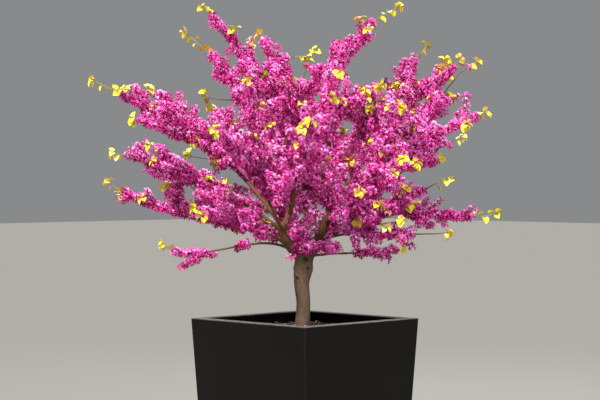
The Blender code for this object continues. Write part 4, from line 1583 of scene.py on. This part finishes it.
def painted_light_tone_of(spur, chance):
    """The tone of a spray: painted light and shade by its height and the way it points, with some chance.
    """
    low, high = PAINTED_LIGHT_HEIGHTS
    rise = held((spur.tip.z - SOIL_TOP - low) / (high - low))
    tone = SHADED_TONE_AT_FOOT + (LIT_TONE_AT_TOP - SHADED_TONE_AT_FOOT) * rise
    tone += chance.gauss(0, TONE_SPREAD) - PAINTED_LIGHT_UPWARD * spur.way.z
    return min(MOST_TONE, max(LEAST_TONE, tone))


# %% The plumes as joined meshes
PLUMES = {
    "blossom_left_low": ("low_left", "left_low", "left_mid", "front_low_left"),
    "blossom_left_high": ("left_high", "top_left", "front_left"),
    "blossom_top": ("top_inner", "top", "top_right"),
    "blossom_right_high": ("right_high", "right_upper", "right_mid"),
    "blossom_right_low": (
        "right_low", "low_right", "low_twig_right", "front_low_right", "front_right", "fork_spray"
    ),
    "blossom_front": ("front_middle",),
    "blossom_rear_left": ("rear_low_left", "rear_high_left", "rear_middle"),
    "blossom_rear_right": ("rear_top", "rear_high_right", "rear_low_right"),
}


def plume(name, chosen, chance):
    """One object of all the flowers on these spurs."""
    flowers, tones = [], []
    for spur in chosen:
        tone = painted_light_tone_of(spur, chance)
        for placed in spray(spur, chance):
            flowers.append(placed)
            tones.append(tone + chance.uniform(-FLOWER_TONE, FLOWER_TONE))
    places, ways, ups, sizes = (np.array(column) for column in zip(*flowers))
    tones = np.array(tones)
    turned = (
        np.cross(ups, ways)[:, None] * flower[None, :, 0:1]
        + ups[:, None] * flower[None, :, 1:2]
        + ways[:, None] * flower[None, :, 2:3]
    )
    corners = places[:, None] + turned * sizes[:, None, None]
    faces = flower_faces[None] + (np.arange(len(flowers)) * len(flower))[:, None, None]
    # Painted light and shade: banner stepped lighter and keel darker, and the cup darker in shaded sprays
    steps = np.array(PART_LIGHT_STEP)[flower_finishes]
    shade = np.clip(np.round(tones[:, None] + steps[None]), 0, len(LIT_TO_SHADED_TONES) - 1)
    cup = len(LIT_TO_SHADED_TONES) + np.clip((tones / TONES_TO_A_CUP).astype(int), 0, len(CUP_TONES) - 1)
    shade = np.where(flower_finishes[None] == CUP, cup[:, None], shade)
    print(name, len(flowers), "flowers")
    return smooth_object(name, corners.reshape(-1, 3), faces.reshape(-1, 3), shade.reshape(-1))


petal_tints = {f"petal_{number}": code for number, code in enumerate(LIT_TO_SHADED_TONES)}
petal_tints.update({f"cup_{number}": code for number, code in enumerate(CUP_TONES)})
petals = plain_finishes(petal_tints, roughness=0.6, Specular_IOR_Level=PETAL_SHINE)
for name, boughs in PLUMES.items():
    chosen = [spur for spur in spurs if spur.stem.owner in boughs]
    stands_for = [bough + "_blossom" for bough in boughs]
    finish_piece(plume(name, chosen, chance), name, petals, stands_for)

# %% [markdown]
# ## Young leaves
#
# A redbud leaf is a heart: two round lobes at the stalk and a blunt point. Young ones are about 18
# to 27 mm long, yellow, half folded along the rib, and they hang from thin stalks along the green
# end of a shoot. The leaf is a small grid whose rows are drawn in to the heart's outline, then
# folded.

# %% One leaf
LEAF_ROWS = 5
LEAF_COLUMNS = 4
HEART = (0.38, 0.54, 0.56, 0.47, 0.28, 0.0)  # half width at each row, from lobes to point
LOBE_BACK = 0.16
LEAF_FOLD = 0.42
LEAF_CURL = 0.22
POINT_MERGED = 0.0001  # corners nearer than this become one, as at the leaf's point


def leaf_shape():
    """Corners and faces of a leaf one unit long, its stalk's end at the origin, along +Y."""
    select_only()
    bpy.ops.mesh.primitive_grid_add(
        x_subdivisions=LEAF_COLUMNS, y_subdivisions=LEAF_ROWS, size=1, location=(0, 0.5, 0)
    )
    leaf = bpy.context.active_object
    leaf.data.transform(leaf.matrix_world)
    for corner in leaf.data.vertices:
        row = round(corner.co.y * LEAF_ROWS)
        side = corner.co.x * 2
        x = side * HEART[row]
        y = corner.co.y - LOBE_BACK * abs(side) * (1 - corner.co.y) ** 2
        corner.co = (x, y, abs(x) * LEAF_FOLD - LEAF_CURL * y * y)
    bpy.ops.object.mode_set(mode="EDIT")
    bpy.ops.mesh.select_all(action="SELECT")
    bpy.ops.mesh.remove_doubles(threshold=POINT_MERGED)
    bpy.ops.object.mode_set(mode="OBJECT")
    return taken_apart(leaf)


def taken_apart(thing):
    """The corners and faces of an object, which is then removed."""
    corners = [corner.co.copy() for corner in thing.data.vertices]
    faces = [tuple(face.vertices) for face in thing.data.polygons]
    bpy.data.objects.remove(thing)
    return corners, faces


leaf_corners, leaf_faces = leaf_shape()
print("a leaf has", len(leaf_faces), "faces")

# %% [markdown]
# ## Leafy shoots
#
# Each line of the rule that ends in a bare shoot carries leaves there, turn by turn, with a
# tuft at the end. Short leafy shoots also break from the plumes, most in two parts of the crown
# on the right, where the leaves come first.

# %% Leaves along a shoot
LEAF_STEP = 0.018
LEAF_STEP_SPREAD = (0.8, 1.25)
FIRST_LEAF, LAST_LEAF = 0.6, 0.4  # in steps from the shoot's start, and to its end
YOUNG_LEAF = (0.0185, 0.0265)
END_LEAVES = 5
END_LEAF_SIZE = 0.85
LEAF_STALK = (0.006, 0.011)
STALK_WOOD = (0.0006, 0.0005)
LEAF_DROOP = (0.11, 0.88)
LEAF_ROLL = 0.9
LEAF_FORWARD = (0.2, 0.9)
LEAF_TINTS = {
    "leaf_yellow": "DFC82E",
    "leaf_lime": "CDC435",
    "leaf_green": "AEB334",
    "leaf_gold": "DFBC3A",
    "leaf_pale": "DECD68",
    "leaf_bronze": "D58C56",
}
TINT_ODDS = (0.50, 0.24, 0.06, 0.09, 0.07, 0.04)
SAME_TINT = 0.7  # share of a shoot's leaves that have the shoot's own tint
TUFT_LENGTH = (0.008, 0.018)
TUFT_RISE = 0.3
TUFT_BARE = 0.7
TUFT_ODDS = 0.0022
LEAFY_PARTS = (  # across and above the soil, how wide, and how many times more tufts
    (0.32, 0.83, 0.20, 14.0),
    (0.32, 0.30, 0.10, 4.0),
)


def add_leaf(root, way, size, tint, chance):
    """A leaf on its stalk: the stalk stands out from the shoot and the blade hangs from it."""
    stalk_end = root + way * chance.uniform(*LEAF_STALK)
    stalks.add(*rings([root, stalk_end], STALK_WOOD, 3), SHOOT_TWIG)
    lie = (way - UP * chance.uniform(*LEAF_DROOP)).normalized()
    side = lie.cross(UP).normalized()
    side.rotate(Quaternion(lie, chance.uniform(-LEAF_ROLL, LEAF_ROLL)))
    face = side.cross(lie)
    turned = [side * corner.x + lie * corner.y + face * corner.z for corner in leaf_corners]
    leaves.add([stalk_end + corner * size for corner in turned], leaf_faces, tint)


def leafy_shoot(points, start, chance):
    """Leaves on a shoot from a distance along it to its end, and a tuft at the end."""
    whole = length_of(points)
    turn, at = chance.uniform(0, 360), start + LEAF_STEP * FIRST_LEAF
    tints = range(len(LEAF_TINTS))
    shoot_tint = chance.choices(tints, TINT_ODDS)[0]
    last = False
    while not last:
        last = at >= whole - LEAF_STEP * LAST_LEAF
        point, heading = point_after(points, min(at, whole))
        for k in range(END_LEAVES if last else 1):
            turn += GOLDEN_TURN
            forward = heading * chance.uniform(*LEAF_FORWARD)
            way = (forward + outwards(heading, turn)).normalized()
            size = chance.uniform(*YOUNG_LEAF) * (END_LEAF_SIZE if last else 1.0)
            own = chance.random() < SAME_TINT
            tint = shoot_tint if own else chance.choices(tints, TINT_ODDS)[0]
            add_leaf(point, way, size, tint, chance)
        if not last:
            at += LEAF_STEP * chance.uniform(*LEAF_STEP_SPREAD)


def tuft_odds(spur):
    """How likely a tuft is on a spur: most in the two parts of the crown that leaf out first."""
    across, above = seen_at(spur.tip)
    odds = 1.0
    for middle, height, reach, more in LEAFY_PARTS:
        far = math.hypot(across - middle, above - height) / reach
        odds += more * math.exp(-(far**2))
    return TUFT_ODDS * odds * (1 + spur.way.z)


leaves, stalks = Joined(), Joined()
for stem in stems:
    if stem.shoot:
        leafy_shoot(stem.points, stem.blossom_end, chance)
tufts = 0
for spur in spurs:
    if chance.random() < tuft_odds(spur):
        reach = spur.room - (spur.tip - spur.root).length + chance.uniform(*TUFT_LENGTH)
        end = spur.tip + (spur.way + UP * TUFT_RISE).normalized() * reach
        stalks.add(*cone(spur.tip, end, SPUR_WOOD), SHOOT_TWIG)
        leafy_shoot([spur.tip, end], reach * TUFT_BARE, chance)
        tufts += 1
print(tufts, "tufts on the plumes,", len(leaves.faces) // len(leaf_faces), "leaves")
finish_piece(leaves.made("leaves"), "leaves", plain_finishes(LEAF_TINTS, roughness=0.45))
finish_piece(stalks.made("leaf_stalks"), "leaf_stalks", twig_finishes)

# %% [markdown]
# ## Mulch and fallen petals
#
# Round the trunk the soil is strewn with bits of bark and with petals that have dropped. A chip is
# a small cube drawn flat with its corners taken off, and a petal a folded kite of two faces. Both
# are laid on the soil by its own height.

# %% Chips and petals on the soil
CHIPS = 520
CHIP_SIZE = (0.005, 0.016)
CHIP_FLAT = (1, 0.45, 0.2)
CHIP_CUT = 0.08
CHIP_LIFT = 0.06  # how far a chip's middle lies over the soil, as a share of its size
CHIP_TINTS = {"chip_dark": "2A1B12", "chip_brown": "513826", "chip_pale": "8A7460"}
PETALS = 260
PETAL_SIZE = (0.006, 0.010)
PETAL_LIFT = 0.12
PETAL_SPREAD = 0.105
PETAL_TINTS = {"fallen_pink": "D98BB8", "fallen_rose": "B9528E", "fallen_pale": "E6CBD8"}
PETAL = ([(0, 0, 0), (0.32, 0.5, 0.16), (0, 1.0, 0.05), (-0.32, 0.5, 0.16)], [(0, 1, 2), (0, 2, 3)])
TILTS = {"X": 0.3, "Y": 0.2}
FROM_WALL = 0.012
FROM_TRUNK = 0.008


def chip_shape():
    """Corners and faces of a chip one unit long."""
    select_only()
    bpy.ops.mesh.primitive_cube_add(size=1)
    chip = bpy.context.active_object
    bpy.ops.object.mode_set(mode="EDIT")
    bpy.ops.transform.resize(value=CHIP_FLAT)
    bpy.ops.mesh.bevel(offset=CHIP_CUT, segments=1, affect="VERTICES")
    bpy.ops.object.mode_set(mode="OBJECT")
    return taken_apart(chip)


def on_soil(chance, spread):
    """A place on the soil, clear of the trunk and inside the planter."""
    half = inner_side(SOIL_TOP) / 2 - FROM_WALL
    while True:
        if spread:
            x, y = chance.gauss(0, spread), chance.gauss(0, spread)
        else:
            x, y = chance.uniform(-half, half), chance.uniform(-half, half)
        if math.hypot(x, y) > TRUNK[0][2] + FROM_TRUNK and max(abs(x), abs(y)) < half:
            return Vector((x, y, soil_height(x, y)))


def strew(name, shape, count, spread, sizes, lift, tints, roughness):
    """One piece of many copies of a shape that lie on the soil."""
    joined, (corners, faces) = Joined(), shape
    for i in range(count):
        at, size = on_soil(chance, spread), chance.uniform(*sizes)
        lie = Matrix.Rotation(chance.uniform(0, math.tau), 3, "Z")
        for axis, tilt in TILTS.items():
            lie = lie @ Matrix.Rotation(chance.gauss(0, tilt), 3, axis)
        moved = [at + lie @ Vector(corner) * size + UP * (lift * size) for corner in corners]
        joined.add(moved, faces, chance.randrange(len(tints)))
    finish_piece(joined.made(name), name, plain_finishes(tints, roughness))


strew("mulch", chip_shape(), CHIPS, None, CHIP_SIZE, CHIP_LIFT, CHIP_TINTS, 0.9)
strew(
    "fallen_petals", PETAL, PETALS, PETAL_SPREAD, PETAL_SIZE, PETAL_LIFT, PETAL_TINTS, 0.6
)

# %% [markdown]
# ## Floor, light and camera
#
# The floor is plain and pale, and so is what lies behind it. A wide soft sun stands high to the
# left and a little in front, so each plume has a bright upper side and a deep lower one. A broad
# light behind gives the rims their glow, and a weak one in front opens the shade. The camera looks
# over the planter's corner with a long lens.

# %% Floor
FLOOR_SIZE = 60.0
FLOOR_TINT = {"pale_floor": "7E7D7A"}

select_only()
bpy.ops.mesh.primitive_plane_add(size=FLOOR_SIZE, location=(0, 0, 0))
floor = bpy.context.active_object
floor.name = "studio_floor"
floor.data.materials.append(*plain_finishes(FLOOR_TINT, roughness=0.85))
floor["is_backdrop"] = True

# %% Light
AIM = UP * 1.15
LIGHTS = {  # kind, bearing, distance, height, power, tint, and the sun's angle or a panel's size
    "soft_sun": ("SUN", 232, 3.1, 4.7, 7.2, "FFFCF6", math.radians(14)),
    "rim_light": ("AREA", 80, 3.2, 3.6, 70, "FFFCF8", 2.0),
    "front_fill": ("AREA", 300, 4.2, 2.2, 120, "F8F9FF", 3.0),
}
SKY_COLOUR = "DDE0E2"
SKY_STRENGTH = 0.34

for name, (kind, bearing, distance, height, power, tint, wide) in LIGHTS.items():
    at = place(bearing, distance, height - SOIL_TOP)
    bpy.ops.object.light_add(type=kind, location=at)
    light = bpy.context.active_object
    light.name = name
    light.data.energy = power
    light.data.color = colour(tint)[:3]
    light.rotation_euler = (AIM - at).to_track_quat("-Z", "Y").to_euler()
    setattr(light.data, "angle" if kind == "SUN" else "size", wide)
bpy.context.scene.view_settings.view_transform = "Standard"

sky = bpy.data.worlds.new("studio")
sky.use_nodes = True
sky.node_tree.nodes["Background"].inputs["Color"].default_value = colour(SKY_COLOUR)
sky.node_tree.nodes["Background"].inputs["Strength"].default_value = SKY_STRENGTH
bpy.context.scene.world = sky
print(len(LIGHTS), "lights")

# %% Camera
CAMERA_DOWN = 0.82
LENS = 112.9
SENSOR = 36.0

at = RIGHT * CAMERA_ACROSS - AWAY * CAMERA_AWAY + UP * CAMERA_HEIGHT
bpy.ops.object.camera_add(location=at)
camera = bpy.context.active_object
camera.rotation_euler = (math.radians(90 - CAMERA_DOWN), 0, math.radians(VIEW_TURN))
camera.data.lens = LENS
camera.data.sensor_width = SENSOR
bpy.context.scene.camera = camera
print("camera at", [round(along, 3) for along in camera.location])

# %% [markdown]
# ## Size and end
#
# The dressed tree's box is printed against the part's own box, as the change of each side. The
# dressed tree has to stay in the part's own box.

# %% Boxes and the last line
new_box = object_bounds()
for axis, name in enumerate("XYZ"):
    change = [round(new[axis] - old[axis], 4) for new, old in zip(new_box, cad_box)]
    print(name, "lower and upper against the part:", change)
